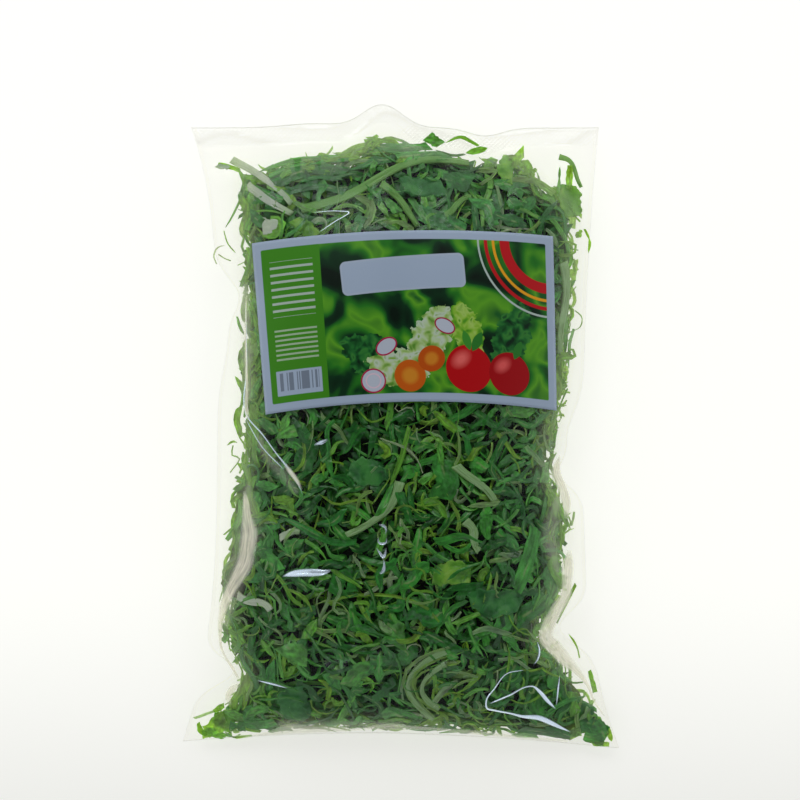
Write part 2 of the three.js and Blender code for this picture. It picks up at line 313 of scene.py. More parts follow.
stageForm = {
    "cameraDistance": 2.0,      # far away, so that the bag is seen nearly square on
    "frameSize": 0.4,
    "framePlane": 0.02,         # height at which the frame is that wide
    "frameCentre": (-0.0005, 0.01325),
    "sensor": 36,
    "clip": (0.05, 30),
    "floorSize": 8,
    "floorGlow": 0.76,
    "ringLight": 0.54,          # soft light all round at 37 to 53 degrees from overhead
    "horizonShare": 1.35,
    "lampDistance": 2.2,
    "lampTarget": (0, 0, 0.03),
    # ways of the lamps; the sparks are small and glint in the film
    "softbox": (47, 105, 8),
    "softboxSize": 1.1,
    "sparks": [(34, 195, 0.1), (45, 255, 0.6), (45, 278, 0.6), (45, 220, 0.55), (45, 40, 0.55),
               (45, 75, 0.5), (45, 125, 0.3)],
    "sparkSize": 0.2,
}


def makeCamera():
    camera = bpy.data.cameras.new("camera")
    holder = newObject("camera", camera)
    camera.sensor_width = stageForm["sensor"]
    camera.lens = stageForm["sensor"] * stageForm["cameraDistance"] / stageForm["frameSize"]
    x, y = stageForm["frameCentre"]
    holder.location = (x, y, stageForm["framePlane"] + stageForm["cameraDistance"])
    camera.clip_start, camera.clip_end = stageForm["clip"]
    bpy.context.scene.camera = holder


# a square lamp aimed at the bag; its way is the direction from overhead, the azimuth and the power
def makeLamp(name, way, size, colour):
    fromTop, azimuth, power = way
    lamp = bpy.data.lights.new(name, "AREA")
    lamp.shape = "RECTANGLE"
    lamp.size = lamp.size_y = size
    lamp.energy = power
    lamp.color = colour
    out = stageForm["lampDistance"] * math.sin(math.radians(fromTop))
    place = (out * math.cos(math.radians(azimuth)), out * math.sin(math.radians(azimuth)),
             stageForm["lampDistance"] * math.cos(math.radians(fromTop)))
    holder = newObject(name, lamp)
    holder.location = place
    toTarget = Vector(stageForm["lampTarget"]) - Vector(place)
    holder.rotation_euler = toTarget.to_track_quat("-Z", "Y").to_euler()


def makeFloor():
    floor = newPiece("floor", newGrid(1, 1, stageForm["floorSize"] / 2), False)
    # lit acrylic: a glow with a faint soft shadow; the glow is painted dimmer below the bag, a painted
    # falloff of light
    material, tree = newMaterial("lit white acrylic")
    place = addNode(tree, "TexCoord")
    split = addNode(tree, "SeparateXYZ", {"Vector": place.outputs["Object"]})
    paintedFalloff = addNode(tree, "MapRange", {
        "Value": split.outputs["Y"], "From Min": -0.24, "From Max": -0.06, "To Min": 0.74,
        "To Max": 1.0}, interpolation_type="SMOOTHSTEP")
    glow = addNode(tree, "Math", {0: paintedFalloff, 1: stageForm["floorGlow"]}, operation="MULTIPLY")
    surface = addNode(tree, "BsdfPrincipled", {
        "Base Color": linear("BCBCB6"), "Roughness": 0.9, "Emission Color": linear("FFFEF8"),
        "Emission Strength": glow})
    addNode(tree, "OutputMaterial", {"Surface": surface})
    floor.data.materials.append(material)


def makeWorld():
    world = bpy.data.worlds.new("studio")
    world.use_nodes = True
    world.node_tree.nodes.clear()
    tree = world.node_tree
    direction = addNode(tree, "TexCoord")
    split = addNode(tree, "SeparateXYZ", {"Vector": direction.outputs["Generated"]})
    # dark overhead, so that the film stays clear to the camera
    opening = addNode(tree, "MapRange", {
        "Value": split.outputs["Z"], "From Min": 0.76, "From Max": 0.88, "To Min": stageForm["ringLight"],
        "To Max": 0.012}, interpolation_type="SMOOTHSTEP")
    horizon = addNode(tree, "MapRange", {
        "Value": split.outputs["Z"], "From Min": 0.5, "From Max": 0.64, "To Min": stageForm["horizonShare"],
        "To Max": 1.0}, interpolation_type="SMOOTHSTEP")
    lean = addNode(tree, "MapRange", {
        "Value": split.outputs["Y"], "From Min": -1, "From Max": 1, "To Min": 0.75, "To Max": 1.25})
    level = addNode(tree, "Math", {0: opening, 1: horizon}, operation="MULTIPLY")
    leaning = addNode(tree, "Math", {0: level, 1: lean}, operation="MULTIPLY")
    sky = addNode(tree, "Background", {"Color": linear("EEF2FA"), "Strength": leaning})
    addNode(tree, "OutputWorld", {"Surface": sky})
    bpy.context.scene.world = world


makeCamera()
makeFloor()
makeWorld()
for index, way in enumerate(stageForm["sparks"]):
    makeLamp("spark%d" % (index + 1), way, stageForm["sparkSize"], (0.86, 0.94, 1.0))
makeLamp("softbox", stageForm["softbox"], stageForm["softboxSize"], (0.96, 0.98, 1.0))
bpy.context.scene.view_settings.view_transform = "Standard"
bpy.context.scene.cycles.use_denoising = True
bpy.context.scene.cycles.transparent_max_bounces = 24
print("camera and stage ready")


filmForm = {
    "columns": 170,
    "rows": 256,
    "weldGap": 0.12,            # front and back where they are welded together
    "weldWidth": 2.0,
    "bend": 0.86,               # how much closer the columns lie at the sides
    # folds that run in from the side welds and the seal; a warp is noise by size, amount and seed
    "sideFold": {"height": 0.75, "length": 15, "pitch": 13, "peak": 5, "warp": (24, 9, 3.1)},
    "sealFold": {"height": 1.1, "length": 22, "pitch": 12, "peak": 6, "warp": (30, 10, 7.7)},
    "sidePhase": 1.3,
    "crumple": 0.22,
    "crumpleSize": 12,
    "fineSize": 0.45,           # finer crumples, as shares of the broad ones
    "fineShare": 0.6,
    "looseGap": 4,              # film this far from its back moves freely
    "backFolds": (0.6, 0.3),    # shares of the folds and of the crumple that the back has
    "weldWave": (0.9, 17, 1.1),         # height, length and phase of the waves along the ends
    "sideWave": (0.8, 12),
    "haze": 0.002,
    "sealMilk": 0.02,           # how much milkier the film is in the seal, the welds and the hazy stretches
    "weldMilk": 0.05,
    "stretchMilk": 0.2,
    "edgeVeil": 0.15,           # slack layers over the edges of the filling
    "veilReach": (-7, 1, 15),   # distances inside the outline where the veil starts, is full and ends
    "veilThins": (130, 142),    # towards the fold
    "milkHalf": 95,             # half width by which the milky welds are measured
    "mirrorHeadOn": 0.011,
}
# soft hazy stretches where the film touches itself: points along the middle of each, with its half width
hazyStretches = [
    [(78, -36, 2), (75, -47, 4.5), (73, -56, 4.5), (76, -65, 3), (78, -72, 1.5)],
    [(-76, -30, 2), (-75, -48, 7), (-78, -66, 7), (-86, -84, 5), (-88, -98, 3)],
    [(-72, -4, 1), (-66, -15, 3), (-58, -24, 3), (-52, -32, 1.5)],
    [(-60, -149, 3), (-30, -150, 3), (0, -149, 2)],
    [(-78, 70, 2), (-77, 45, 3), (-76, 15, 3)],
]
# slack film folded over on itself along the sides and the bottom: middle of each pleat and half its width
pleats = [
    [(-77.8, -31.9, 0.7), (-77, -38, 1.9), (-76.6, -44, 2.7), (-75.3, -52.6, 4.6), (-76.4, -61.2, 4.4),
     (-77.7, -68, 4.4), (-81.3, -75, 3.6), (-85.2, -81.9, 2.9), (-88, -88.7, 2.6), (-89.8, -95.6, 1.8),
     (-90.5, -104.2, 1), (-89.8, -111.1, 0.6), (-85.6, -119.7, 0.7), (-80.4, -127.5, 0.8)],
    [(-80.4, -128.8, 0.8), (-84.3, -131.4, 1.7), (-86.5, -135.2, 1.6), (-85.6, -139.5, 1)],
    [(79.3, -14.4, 0.3), (77.5, -23.2, 2.7), (80.3, -30.4, 2.5), (82.5, -38.1, 2.4), (82.3, -45.8, 1.2)],
    [(84, -61.8, 1.2), (83, -70.3, 3.4), (82.7, -77.9, 2.9), (82.5, -83.3, 3.2), (78, -91, 3.8),
     (73.6, -98.6, 3.8), (71.8, -104.7, 3.8), (76.8, -110.8, 4), (82.1, -116.8, 3.4), (88, -122.4, 1.8),
     (94, -130.8, 0.7), (97, -138, 0.5), (102, -145.4, 0.4)],
    [(-75, -155.4, 0.4), (-66, -154.3, 1.2), (-56, -151.6, 3.2), (-45, -152, 2.2), (-30, -152.2, 0.9),
     (-20, -151.8, 0.5)],
    [(-19.5, -151.2, 0.5), (-6.5, -150.5, 2.2), (6, -151, 1.4), (20, -151.9, 0.9), (36, -153.4, 1.3),
     (55, -155.6, 1), (84, -158.4, 0.6)],
    [(-77.3, 66, 0.3), (-77.3, 40, 0.6), (-76.6, 18, 0.9), (-76.6, 6.5, 1.1), (-75.5, 3.5, 0.9)],
    [(-57.5, -18.6, 0.8), (-54.5, -22.5, 1.3), (-51.7, -26.1, 1.2), (-49, -31, 0.5)],
]
# tight creases that catch the light: points along each and half its width
creases = [
    [(61.1, -120.9, 0.2), (52.3, -122.7, 0.3), (46.5, -130, 0.35), (42.4, -136.6, 0.4), (42.8, -140.3, 0.5),
     (46.5, -141.4, 0.5), (55.3, -143.3, 0.5), (60.4, -144.7, 0.8), (68.5, -145.5, 1.4),
     (76.5, -149.1, 1.2), (80.9, -151.3, 0.7), (85, -153.2, 0.2)],
    [(44.3, -137.8, 0.25), (53.8, -133.7, 0.5), (63.3, -129.3, 0.4), (65.5, -129.3, 0.4),
     (69.2, -132.2, 0.9), (72.9, -136.6, 1.0), (77.2, -141, 0.3)],
    [(79.1, -124.2, 0.2), (78.3, -132.2, 0.45), (77.6, -139.2, 0.25)],
    [(67.7, -106.9, 0.25), (68.8, -111, 0.5), (67.7, -116.1, 0.5), (65.9, -118.3, 0.25)],
    [(-58.5, -74, 0.3), (-54, -72.8, 1.5), (-48, -72.1, 2), (-42, -72, 1.9), (-38, -71.8, 1.3),
     (-34.5, -70.6, 0.4)],
    [(-71.4, -126.6, 0.25), (-62.8, -128.4, 0.55), (-56.8, -130, 0.25)],
    [(-42.8, -8.9, 0.4), (-39, -7.6, 1.1), (-36.1, -6.3, 0.5)],
    [(-40.6, 96.3, 0.15), (-33, 101.5, 0.2), (-25.8, 106.3, 0.25), (-32, 107, 0.2), (-43.2, 106.3, 0.12)],
    [(-77.5, 62, 0.2), (-76.7, 30, 0.35), (-76.6, 5.5, 0.45), (-68.4, -4.2, 0.45), (-61.5, -13.5, 0.45),
     (-56.8, -19.2, 0.6), (-52, -26, 0.4), (-48.5, -33, 0.2)],
    [(-77.5, 4.2, 0.2), (-68.4, -10.6, 0.3), (-58, -21, 0.3)],
    [(-10.8, -48.3, 0.3), (-8.8, -48.6, 0.9), (-7.4, -50, 0.5), (-7.6, -53, 0.25)],
    [(-11.3, -54.5, 0.3), (-10.9, -57, 0.6), (-8.8, -57.6, 0.7), (-7.3, -56.8, 0.5), (-7.2, -54.6, 0.2)],
    [(-12.2, -59.6, 0.25), (-10.6, -61.8, 0.6), (-8.6, -64.2, 0.8), (-7.6, -61.4, 0.5), (-7.3, -59.5, 0.2)],
    [(-8.6, -65, 0.3), (-8.3, -68.5, 0.6), (-8.9, -71.2, 1.0), (-10.6, -72.4, 0.4)],
]
foldForm = {
    "step": 0.9, "lift": 0.12, "roof": 0.42, "wallThickness": 0.05, "leastHalf": 0.12,
    "mapSize": (40, 240),       # width and length of film that the streaks' map covers
    "faintCover": 0.4,          # of pleats and creases that are few layers deep
    "creaseAcross": (-1, -0.08, 0.08, 1),
    "pleatAcross": (-1, -0.86, -0.6, -0.34, -0.08, 0.18, 0.44, 0.7, 0.9, 1),
    "pleatRise": 0.5,
    "deepPleats": (0, 2, 3),
    "faintPleats": (4, 5),
    "faintCreases": (8, 9),
    "pleatPush": 0.95,          # share of a pleat's half width that it keeps free of leaves
}


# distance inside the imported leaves, which the broad pleats push back
def fillDistance(x, y):
    inside = outlineDistance(x, y)
    for number in foldForm["deepPleats"]:
        for distance, half in fromRun(x, y, pleats[number]):
            inside = np.minimum(inside, distance - foldForm["pleatPush"] * half)
    return inside


# how far each point is covered by the hazy stretches
def hazyCover(x, y):
    cover = np.zeros(x.shape)
    for points in hazyStretches:
        for distance, half in fromRun(x, y, points):
            cover = np.maximum(cover, 1 - smooth(distance / half, 0.2, 1.3))
    return cover


def noiseAt(x, y, size, seed):
    return np.array([noise.noise(Vector((a / size, b / size, seed))) for a, b in zip(x, y)])


# creamy whiteness of many thin layers, lit from both sides, with a faint painted glow
def addMilkAndPaintedGlow(tree, through):
    near = addNode(tree, "BsdfDiffuse", {"Color": linear("FBF6E8")})
    far = addNode(tree, "BsdfTranslucent", {"Color": linear("FFFCF0")})
    both = addNode(tree, "MixShader", {"Fac": through, 1: near, 2: far})
    # a faint even emission: a painted glow in step with the milk, strongest in the pleats; no lamp lights it
    paintedGlow = addNode(tree, "Emission", {"Color": linear("FFF6E4"), "Strength": 0.17})
    return addNode(tree, "AddShader", {0: both, 1: paintedGlow})


def makeFilmMaterial():
    # polypropylene film: clear and glossy, faintly milky, the milkier the more layers lie together
    material, tree = newMaterial("clear polypropylene film")
    place = addNode(tree, "TexCoord")
    haze = addNode(tree, "Attribute", attribute_name="milkinessWithPaintedGlow")
    seal = addNode(tree, "Attribute", attribute_name="sealBand")
    # crossed rows of dots, 1.6 mm apart, pressed in by the sealing jaws
    turned = addNode(tree, "Mapping", {
        "Vector": place.outputs["Object"], "Rotation": (0, 0, math.radians(45)), "Scale": (625, 625, 625)})
    dots = addNode(tree, "TexVoronoi", {
        "Vector": turned, "Scale": 1.0, "Randomness": 0.0}, distance="CHEBYCHEV")
    knurl = addNode(tree, "Math", {0: dots, 1: seal.outputs["Fac"]}, operation="MULTIPLY")
    knurlHeight = addNode(tree, "Math", {0: knurl, 1: 0.5}, operation="MULTIPLY")
    # fine slack ripples about 7 mm across
    ripples = addNode(tree, "TexNoise", {
        "Vector": place.outputs["Object"], "Scale": 140, "Detail": 1, "Distortion": 0.4})
    rippleHeight = addNode(tree, "Math", {0: ripples, 1: 0.25}, operation="MULTIPLY")
    withKnurl = addNode(tree, "Math", {0: knurlHeight, 1: rippleHeight}, operation="ADD")
    relief = addNode(tree, "Bump", {"Strength": 1.0, "Distance": 0.001, "Height": withKnurl})
    clear = addNode(tree, "BsdfTransparent", {"Color": linear("FEFEFD")})
    milk = addMilkAndPaintedGlow(tree, 0.5)
    shine = addNode(tree, "BsdfGlossy", {"Color": linear("FFFFFF"), "Roughness": 0.12, "Normal": relief})
    # the milk brings its painted glow wherever the film is milky
    body = addNode(tree, "MixShader", {"Fac": haze.outputs["Fac"], 1: clear, 2: milk})
    # a thin wall mirrors alike from both sides: little head on, most at a slant
    slant = addNode(tree, "LayerWeight", {"Blend": 0.5, "Normal": relief})
    steep = addNode(tree, "Math", {0: slant.outputs["Facing"], 1: 5}, operation="POWER")
    mirrored = addNode(tree, "Math", {
        0: steep, 1: 0.9, 2: filmForm["mirrorHeadOn"]}, operation="MULTIPLY_ADD")
    # the pressed dots have steep little walls
    dotted = addNode(tree, "Math", {0: knurl, 1: 0.14, 2: mirrored}, operation="MULTIPLY_ADD")
    whole = addNode(tree, "MixShader", {"Fac": dotted, 1: body, 2: shine})
    addNode(tree, "OutputMaterial", {"Surface": whole})
    return material


# a row of folds that run in from an edge and die out where the filling holds the film tight
def foldWave(form, x, y, along, fromEdge, phase):
    size, amount, seed = form["warp"]
    warp = noiseAt(x, y, size, seed) * amount
    wave = np.sin((along + warp) / form["pitch"] * 2 * math.pi + phase)
    return form["height"] * wave * bump(fromEdge - form["peak"], form["length"])


# the film's front or back over a grid of u and v from -1 to 1
def filmPoints(u, v, front):
    s, t = np.sin(u * math.pi / 2 * filmForm["bend"]) / math.sin(math.pi / 2 * filmForm["bend"]), v
    x, y = planOf(s, t)
    top, bottom = skinAt(s, t, 0)
    full = fullnessAt(s, t, 0)
    fromWeld = (1 - np.abs(s)) * bagForm["halfWidth"]
    fromSeal = np.maximum(sealEdgeY(s * bagForm["cornerX"]) - bagForm["sealBand"] - y, 0)
    sideFold = foldWave(filmForm["sideFold"], x, y, y, fromWeld, np.sign(s) * filmForm["sidePhase"])
    sideFold = sideFold * np.minimum(fromWeld / filmForm["sideFold"]["peak"], 1)
    sealFold = foldWave(filmForm["sealFold"], x, y, x, fromSeal, 0)
    broad = noiseAt(x, y, filmForm["crumpleSize"], 0.4 if front else 5.5)
    fine = noiseAt(x, y, filmForm["crumpleSize"] * filmForm["fineSize"], 1.9)
    crumple = (broad + filmForm["fineShare"] * fine) * filmForm["crumple"]
    gap = np.maximum(top - bottom, 0)
    loose = np.minimum(gap / filmForm["looseGap"], 1)
    if front:
        z = top + (sideFold + sealFold + crumple) * loose
    else:
        foldShare, crumpleShare = filmForm["backFolds"]
        lifted = 1 - smooth(full, 0.1, bagForm["lieFlat"])
        z = bottom - (foldShare * sideFold + crumple * crumpleShare) * loose * lifted
    z = np.maximum(z, 0.05)
    # the welds themselves wave up and down a little, front and back together
    high, length, phase = filmForm["weldWave"]
    atEnds = high * np.sin(x / length + phase) * smooth(np.abs(t), 0.8, 1.0)
    high, length = filmForm["sideWave"]
    atSides = high * np.sin(y / length + np.sign(s)) * smooth(np.abs(s), 0.8, 1.0)
    z = z + (atEnds + atSides) * (1 - smooth(gap, 0, 12))
    return x, y, z, s, t


def makeFilm():
    bm = newGrid(filmForm["columns"], filmForm["rows"])
    addBack(bm)
    film = newPiece("filmBag", bm)
    grid = pointsOf(film)
    isFront = grid[:, 2] > -0.5
    points = np.empty_like(grid)
    shares = np.empty((len(grid), 2))
    for chosen, isTop in ((isFront, True), (~isFront, False)):
        x, y, z, s, t = filmPoints(grid[chosen, 0], grid[chosen, 1], isTop)
        points[chosen] = np.stack([x, y, z], axis=-1)
        shares[chosen] = np.stack([s, t], axis=-1)
    # where the layers lie together they share one height
    half = len(grid) // 2
    middle = (points[:half, 2] + points[half:, 2]) / 2
    gap = np.maximum((points[:half, 2] - points[half:, 2]) / 2, filmForm["weldGap"] / 2)
    border = (np.abs(grid[:half, 0]) > 0.9999) | (np.abs(grid[:half, 1]) > 0.9999)
    gap[border] = 0
    points[:half, 2] = middle + gap
    points[half:, 2] = middle - gap
    movePoints(film, *points.T)
    s, t = shares[:, 0], shares[:, 1]
    x, y = points[:, 0], points[:, 1]
    fromSeal = sealEdgeY(s * bagForm["cornerX"]) - y
    band = bagForm["sealBand"]
    inSeal = smooth(fromSeal, 0.2, 0.8) * (1 - smooth(fromSeal, band - 0.8, band))
    fromWeld = (1 - np.abs(s)) * filmForm["milkHalf"]
    inWeld = 1 - smooth(fromWeld, filmForm["weldWidth"] - 0.6, filmForm["weldWidth"] + 0.6)
    inside = outlineDistance(x, y)
    out, near, far = filmForm["veilReach"]
    overEdge = smooth(inside, out, near) * (1 - smooth(inside, near, far))
    overEdge = overEdge * (1 - 0.7 * smooth(-y, *filmForm["veilThins"]))
    # the milkiness also sets how much painted glow the film has
    milkinessWithPaintedGlow = (filmForm["haze"] + filmForm["sealMilk"] * inSeal + filmForm["weldMilk"] * inWeld
                 + isFront * (filmForm["edgeVeil"] * overEdge + filmForm["stretchMilk"] * hazyCover(x, y)))
    setVertexValue(film, "sealBand", inSeal)
    setVertexValue(film, "milkinessWithPaintedGlow", milkinessWithPaintedGlow)
    bm = bmesh.new()
    bm.from_mesh(film.data)
    bmesh.ops.remove_doubles(bm, verts=bm.verts, dist=1e-6)
    bm.to_mesh(film.data)
    bm.free()
    film.data.polygons.foreach_set("use_smooth", [True] * len(film.data.polygons))
    film.data.materials.append(makeFilmMaterial())
    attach(film, "root")
    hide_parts("film_bag")


# height of the front or back film over a place
def filmHeight(x, y, front=True):
    s, t = placeOf(x.ravel(), y.ravel())
    bend = math.pi / 2 * filmForm["bend"]
    u = np.arcsin(np.clip(s * math.sin(bend), -0.999, 0.999)) / bend
    return filmPoints(u, t, front)[2].reshape(x.shape)


# a smooth run of closely spaced points through the given ones
def runThrough(points, step):
    points = np.array(points, float)
    reach = np.concatenate([[0], np.cumsum(np.hypot(*np.diff(points[:, :2], axis=0).T))])
    at = np.linspace(0, reach[-1], max(int(reach[-1] / step), 4))
    slopes = np.gradient(points, reach, axis=0)
    part = np.clip(np.searchsorted(reach, at, side="right") - 1, 0, len(reach) - 2)
    span = (reach[part + 1] - reach[part])[:, None]
    w = (at - reach[part])[:, None] / span
    return ((2 * w ** 3 - 3 * w ** 2 + 1) * points[part] + (w ** 3 - 2 * w ** 2 + w) * span * slopes[part]
            + (3 * w ** 2 - 2 * w ** 3) * points[part + 1] + (w ** 3 - w ** 2) * span * slopes[part + 1])


# one piece of many narrow strips just above the film: a strip for each line, as wide as the line says
def makeFolds(name, lines, faint, across, material, profile):
    across = np.array(across)
    rows, places, maps, covers = [], [], [], []
    for number, points in enumerate(lines):
        run = runThrough(points, foldForm["step"])
        along = np.gradient(run[:, :2], axis=0)
        along = along / np.hypot(*along.T)[:, None]
        half = np.maximum(run[:, 2], foldForm["leastHalf"])[:, None]
        x = run[:, :1] + along[:, 1:] * across * half
        y = run[:, 1:2] - along[:, :1] * across * half
        reach = np.arange(len(run))[:, None] * foldForm["step"]
        z = filmHeight(x, y) + foldForm["lift"] + profile(across, half, reach, number)
        rows.append(len(run))
        places.append(np.stack([x, y, z], axis=-1).reshape(-1, 3))
        mapWidth, mapLength = foldForm["mapSize"]
        place = np.broadcast_arrays(across * half / mapWidth + 0.5, reach / mapLength)
        maps.append(np.stack(place, axis=-1).reshape(-1, 2))
        fromEnd = np.minimum(reach, reach[-1] - reach)
        layers = foldForm["faintCover"] if number in faint else 1
        covers.append((layers * smooth(1 - np.abs(across), 0, 0.45) * smooth(fromEnd, -1, 5)).ravel())
    piece = stripSheet(name, rows, len(across))
    movePoints(piece, *np.concatenate(places).T)
    setMap(piece, np.concatenate(maps))
    setVertexValue(piece, "cover", np.concatenate(covers))
    thicken(piece, "wall", foldForm["wallThickness"], 1)
    piece.data.materials.append(material)
    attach(piece, "root")
    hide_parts("film_bag")


def makePleatMaterial():
    # the same film lying several layers deep: cream and streaky, streaks about 1 mm apart
    material, tree = newMaterial("pleated polypropylene film")
    mapped = addNode(tree, "UVMap", uv_map="OFBake")
    stretched = addNode(tree, "Mapping", {"Vector": mapped, "Scale": (36, 20, 1)})
    streaks = addNode(tree, "TexNoise", {"Vector": stretched, "Scale": 1.0, "Detail": 2})
    cover = addNode(tree, "MapRange", {
        "Value": streaks, "From Min": 0.3, "From Max": 0.7, "To Min": 0.3, "To Max": 0.75})
    # soft towards its sides and ends, where the layers part
    layers = addNode(tree, "Attribute", attribute_name="cover")
    faded = addNode(tree, "Math", {0: cover, 1: layers.outputs["Fac"]}, operation="MULTIPLY")
    clear = addNode(tree, "BsdfTransparent", {"Color": linear("FEFEFB")})
    # the milk here carries the painted glow that brightens the pleats
    milk = addMilkAndPaintedGlow(tree, 0.65)
    body = addNode(tree, "MixShader", {"Fac": faded, 1: clear, 2: milk})
    shine = addNode(tree, "BsdfGlossy", {"Color": linear("F4F8FF"), "Roughness": 0.2})
    whole = addNode(tree, "MixShader", {"Fac": 0.05, 1: body, 2: shine})
    addNode(tree, "OutputMaterial", {"Surface": whole})
    return material


def makeCreaseMaterial():
    # a tight fold: the walls of many layers mirror together, and a faint emission adds a painted highlight
    # along it
    material, tree = newMaterial("creased polypropylene film")
    clear = addNode(tree, "BsdfTransparent", {"Color": linear("FBFCFF")})
    shine = addNode(tree, "BsdfGlossy", {"Color": linear("EAF6FF"), "Roughness": 0.22})
    # painted highlight: an even bluish emission along each crease
    paintedGlow = addNode(tree, "Emission", {"Color": linear("E4F2FF"), "Strength": 0.2})
    bright = addNode(tree, "AddShader", {0: shine, 1: paintedGlow})
    layers = addNode(tree, "Attribute", attribute_name="cover")
    cover = addNode(tree, "MapRange", {
        "Value": layers.outputs["Fac"], "From Min": 0.0, "From Max": 0.6, "To Min": 0.0, "To Max": 0.92})
    whole = addNode(tree, "MixShader", {"Fac": cover, 1: clear, 2: bright})
    addNode(tree, "OutputMaterial", {"Surface": whole})
    return material


def pleatProfile(across, half, reach, number):
    waves = np.sin(across * 7 + number + 0.6 * np.sin(reach / 9)) * np.minimum(half / 4, 1)
    return foldForm["pleatRise"] * (np.minimum(half, 2) / 2 + 0.5 * waves) * (1 - across ** 4)


def creaseProfile(across, half, reach, number):
    return foldForm["roof"] * half * (1 - np.abs(across))


makeFilm()
makeFolds("filmPleats", pleats, foldForm["faintPleats"], foldForm["pleatAcross"],
          makePleatMaterial(), pleatProfile)
makeFolds("filmCreases", creases, foldForm["faintCreases"], foldForm["creaseAcross"],
          makeCreaseMaterial(), creaseProfile)
print("film made")


labelForm = {
    "top": ((-74.2, 91.2), (75.7, 94.8), 4),            # left and right corner, and how far the edge bows up
    "bottom": ((-67, 6), (77.4, 8), 5.5),
    "lift": 1.1,                # above the film, clear of its ripples
    "thickness": 0.15,
    "columns": 96,
    "rows": 54,
    "width": 160,               # printed size, which the pattern is drawn to
    "height": 86,
    "panel": (75.6, 38.6),      # half size of the printed field inside the bare border
    # the paper's white is painted grey-blue, a painted shade over the whole label; the bare plaque and the
    # small box in the print take the same colour
    "paper": "A9B8CA",
    "stops": (0.3, 0.42, 0.52, 0.62, 0.72),
    "foliageScale": 0.055,
    "leafScale": 0.2,
}
# the print, from the bottom layer up: form, middle and half size in millimetres from the label's lower left
# corner, turn in degrees, colour, and what else the form has
labelPrint = [
    ("box", (80, 43), (75.6, 38.6), 0, "foliage", {"round": 0.8}),
    ("box", (20, 43), (15.6, 38.6), 0, "428C1A", {"round": 0.8}),
    # salad leaves behind the vegetables
    ("salad", (62, 22), (11, 21), 62, "deepLeaf", {}),
    ("salad", (136, 34), (9, 19), -28, "deepLeaf", {}),
    ("salad", (92, 32), (10, 19), -35, "paleLeaf", {}),
    ("salad", (74, 17), (9, 17), 78, "paleLeaf", {}),
    ("salad", (112, 36), (8, 15), 22, "brightLeaf", {}),
    # carrot slices
    ("disc", (80, 13), (8.5, 8), 0, "CC5E12", {}),
    ("disc", (80, 13), (4.2, 3.9), 0, "D88A26", {"soft": 1.2}),
    ("disc", (92, 21.5), (7.4, 6.4), 20, "C2520E", {}),
    ("disc", (92, 21.5), (3.6, 3.1), 20, "D68424", {"soft": 1}),
    # tomatoes, each with a light on it, and their leaves
    ("disc", (112, 17), (12.4, 11.8), 0, "BE0C12", {}),
    ("disc", (108, 21.5), (4.4, 3), 35, "EE6A62", {"soft": 2.6}),
    ("disc", (134, 15.5), (11, 10.6), 0, "A8080F", {}),
    ("disc", (130.5, 19.5), (3.8, 2.6), 35, "E65C58", {"soft": 2.2}),
    ("leaf", (117, 30.5), (2.4, 5.6), -30, "2F7A2A", {}),
    ("leaf", (111.5, 31), (2.2, 5.2), 18, "3F8F2E", {}),
    ("leaf", (139, 27.5), (2.2, 5), -24, "2F7A2A", {}),
    # radish slices
    ("disc", (60, 11), (6.8, 6.2), 0, "B21E4A", {}),
    ("disc", (60, 11), (6, 5.4), 0, "C0C6D0", {}),
    ("ring", (60, 11), (3.9, 3.5), 0, "E4C3CE", {"wide": 0.35}),
    ("disc", (68, 28), (6.2, 4.2), 28, "B21E4A", {}),
    ("disc", (68, 28), (5.4, 3.4), 28, "BEC4CE", {}),
    ("disc", (100, 38), (5.8, 3.8), -24, "A81B44", {}),
    ("disc", (100, 38), (5, 3.1), -24, "C0C6D0", {}),
    # a bare plaque, and arcs in the upper corner
    ("box", (79, 64.5), (33, 8.6), 3, "B0BCCC", {"round": 3}),
    ("box", (79, 64.5), (32, 7.6), 3, "A9B8CA", {"round": 2.4}),
    ("ring", (155.6, 81.6), (22, 22), 0, "C3161C", {"wide": 2.6, "within": 1}),
    ("ring", (155.6, 81.6), (28, 28), 0, "F0A41E", {"wide": 0.7, "within": 1}),
    ("ring", (155.6, 81.6), (32, 32), 0, "C3161C", {"wide": 0.9, "within": 1}),
    ("ring", (155.6, 81.6), (36, 36), 0, "B8C6BC", {"wide": 0.5, "within": 1}),
    # plain bars for the small print
    ("box", (20, 61), (11.5, 14), 0, "B4C4B4", {"round": 0.2, "stripes": (3.6, 0.34)}),
    ("box", (20, 33), (11.5, 8.6), 0, "A8C09C", {"round": 0.2, "stripes": (2.4, 0.4)}),
    ("box", (20, 14), (12.4, 6.2), 0, "A9B8CA", {"round": 0.4}),
    ("box", (20, 14.6), (10.8, 4.4), 0, "202226", {"round": 0.01, "bars": 0.62}),
]
labelGreens = {     # colours of the soft foliage and of the salad leaves, dark to light
    "foliage": ["04180A", "0A3418", "28781E", "60A624", "1A5C22"],
    "deepLeaf": ["082812", "124A1E", "226A2C", "3C8434", "1A5224"],
    "paleLeaf": ["5C9030", "94B85C", "B4CC90", "C4D2BC", "84AC46"],
    "brightLeaf": ["3C841C", "68A826", "90BE3C", "AACC62", "58981F"],
}


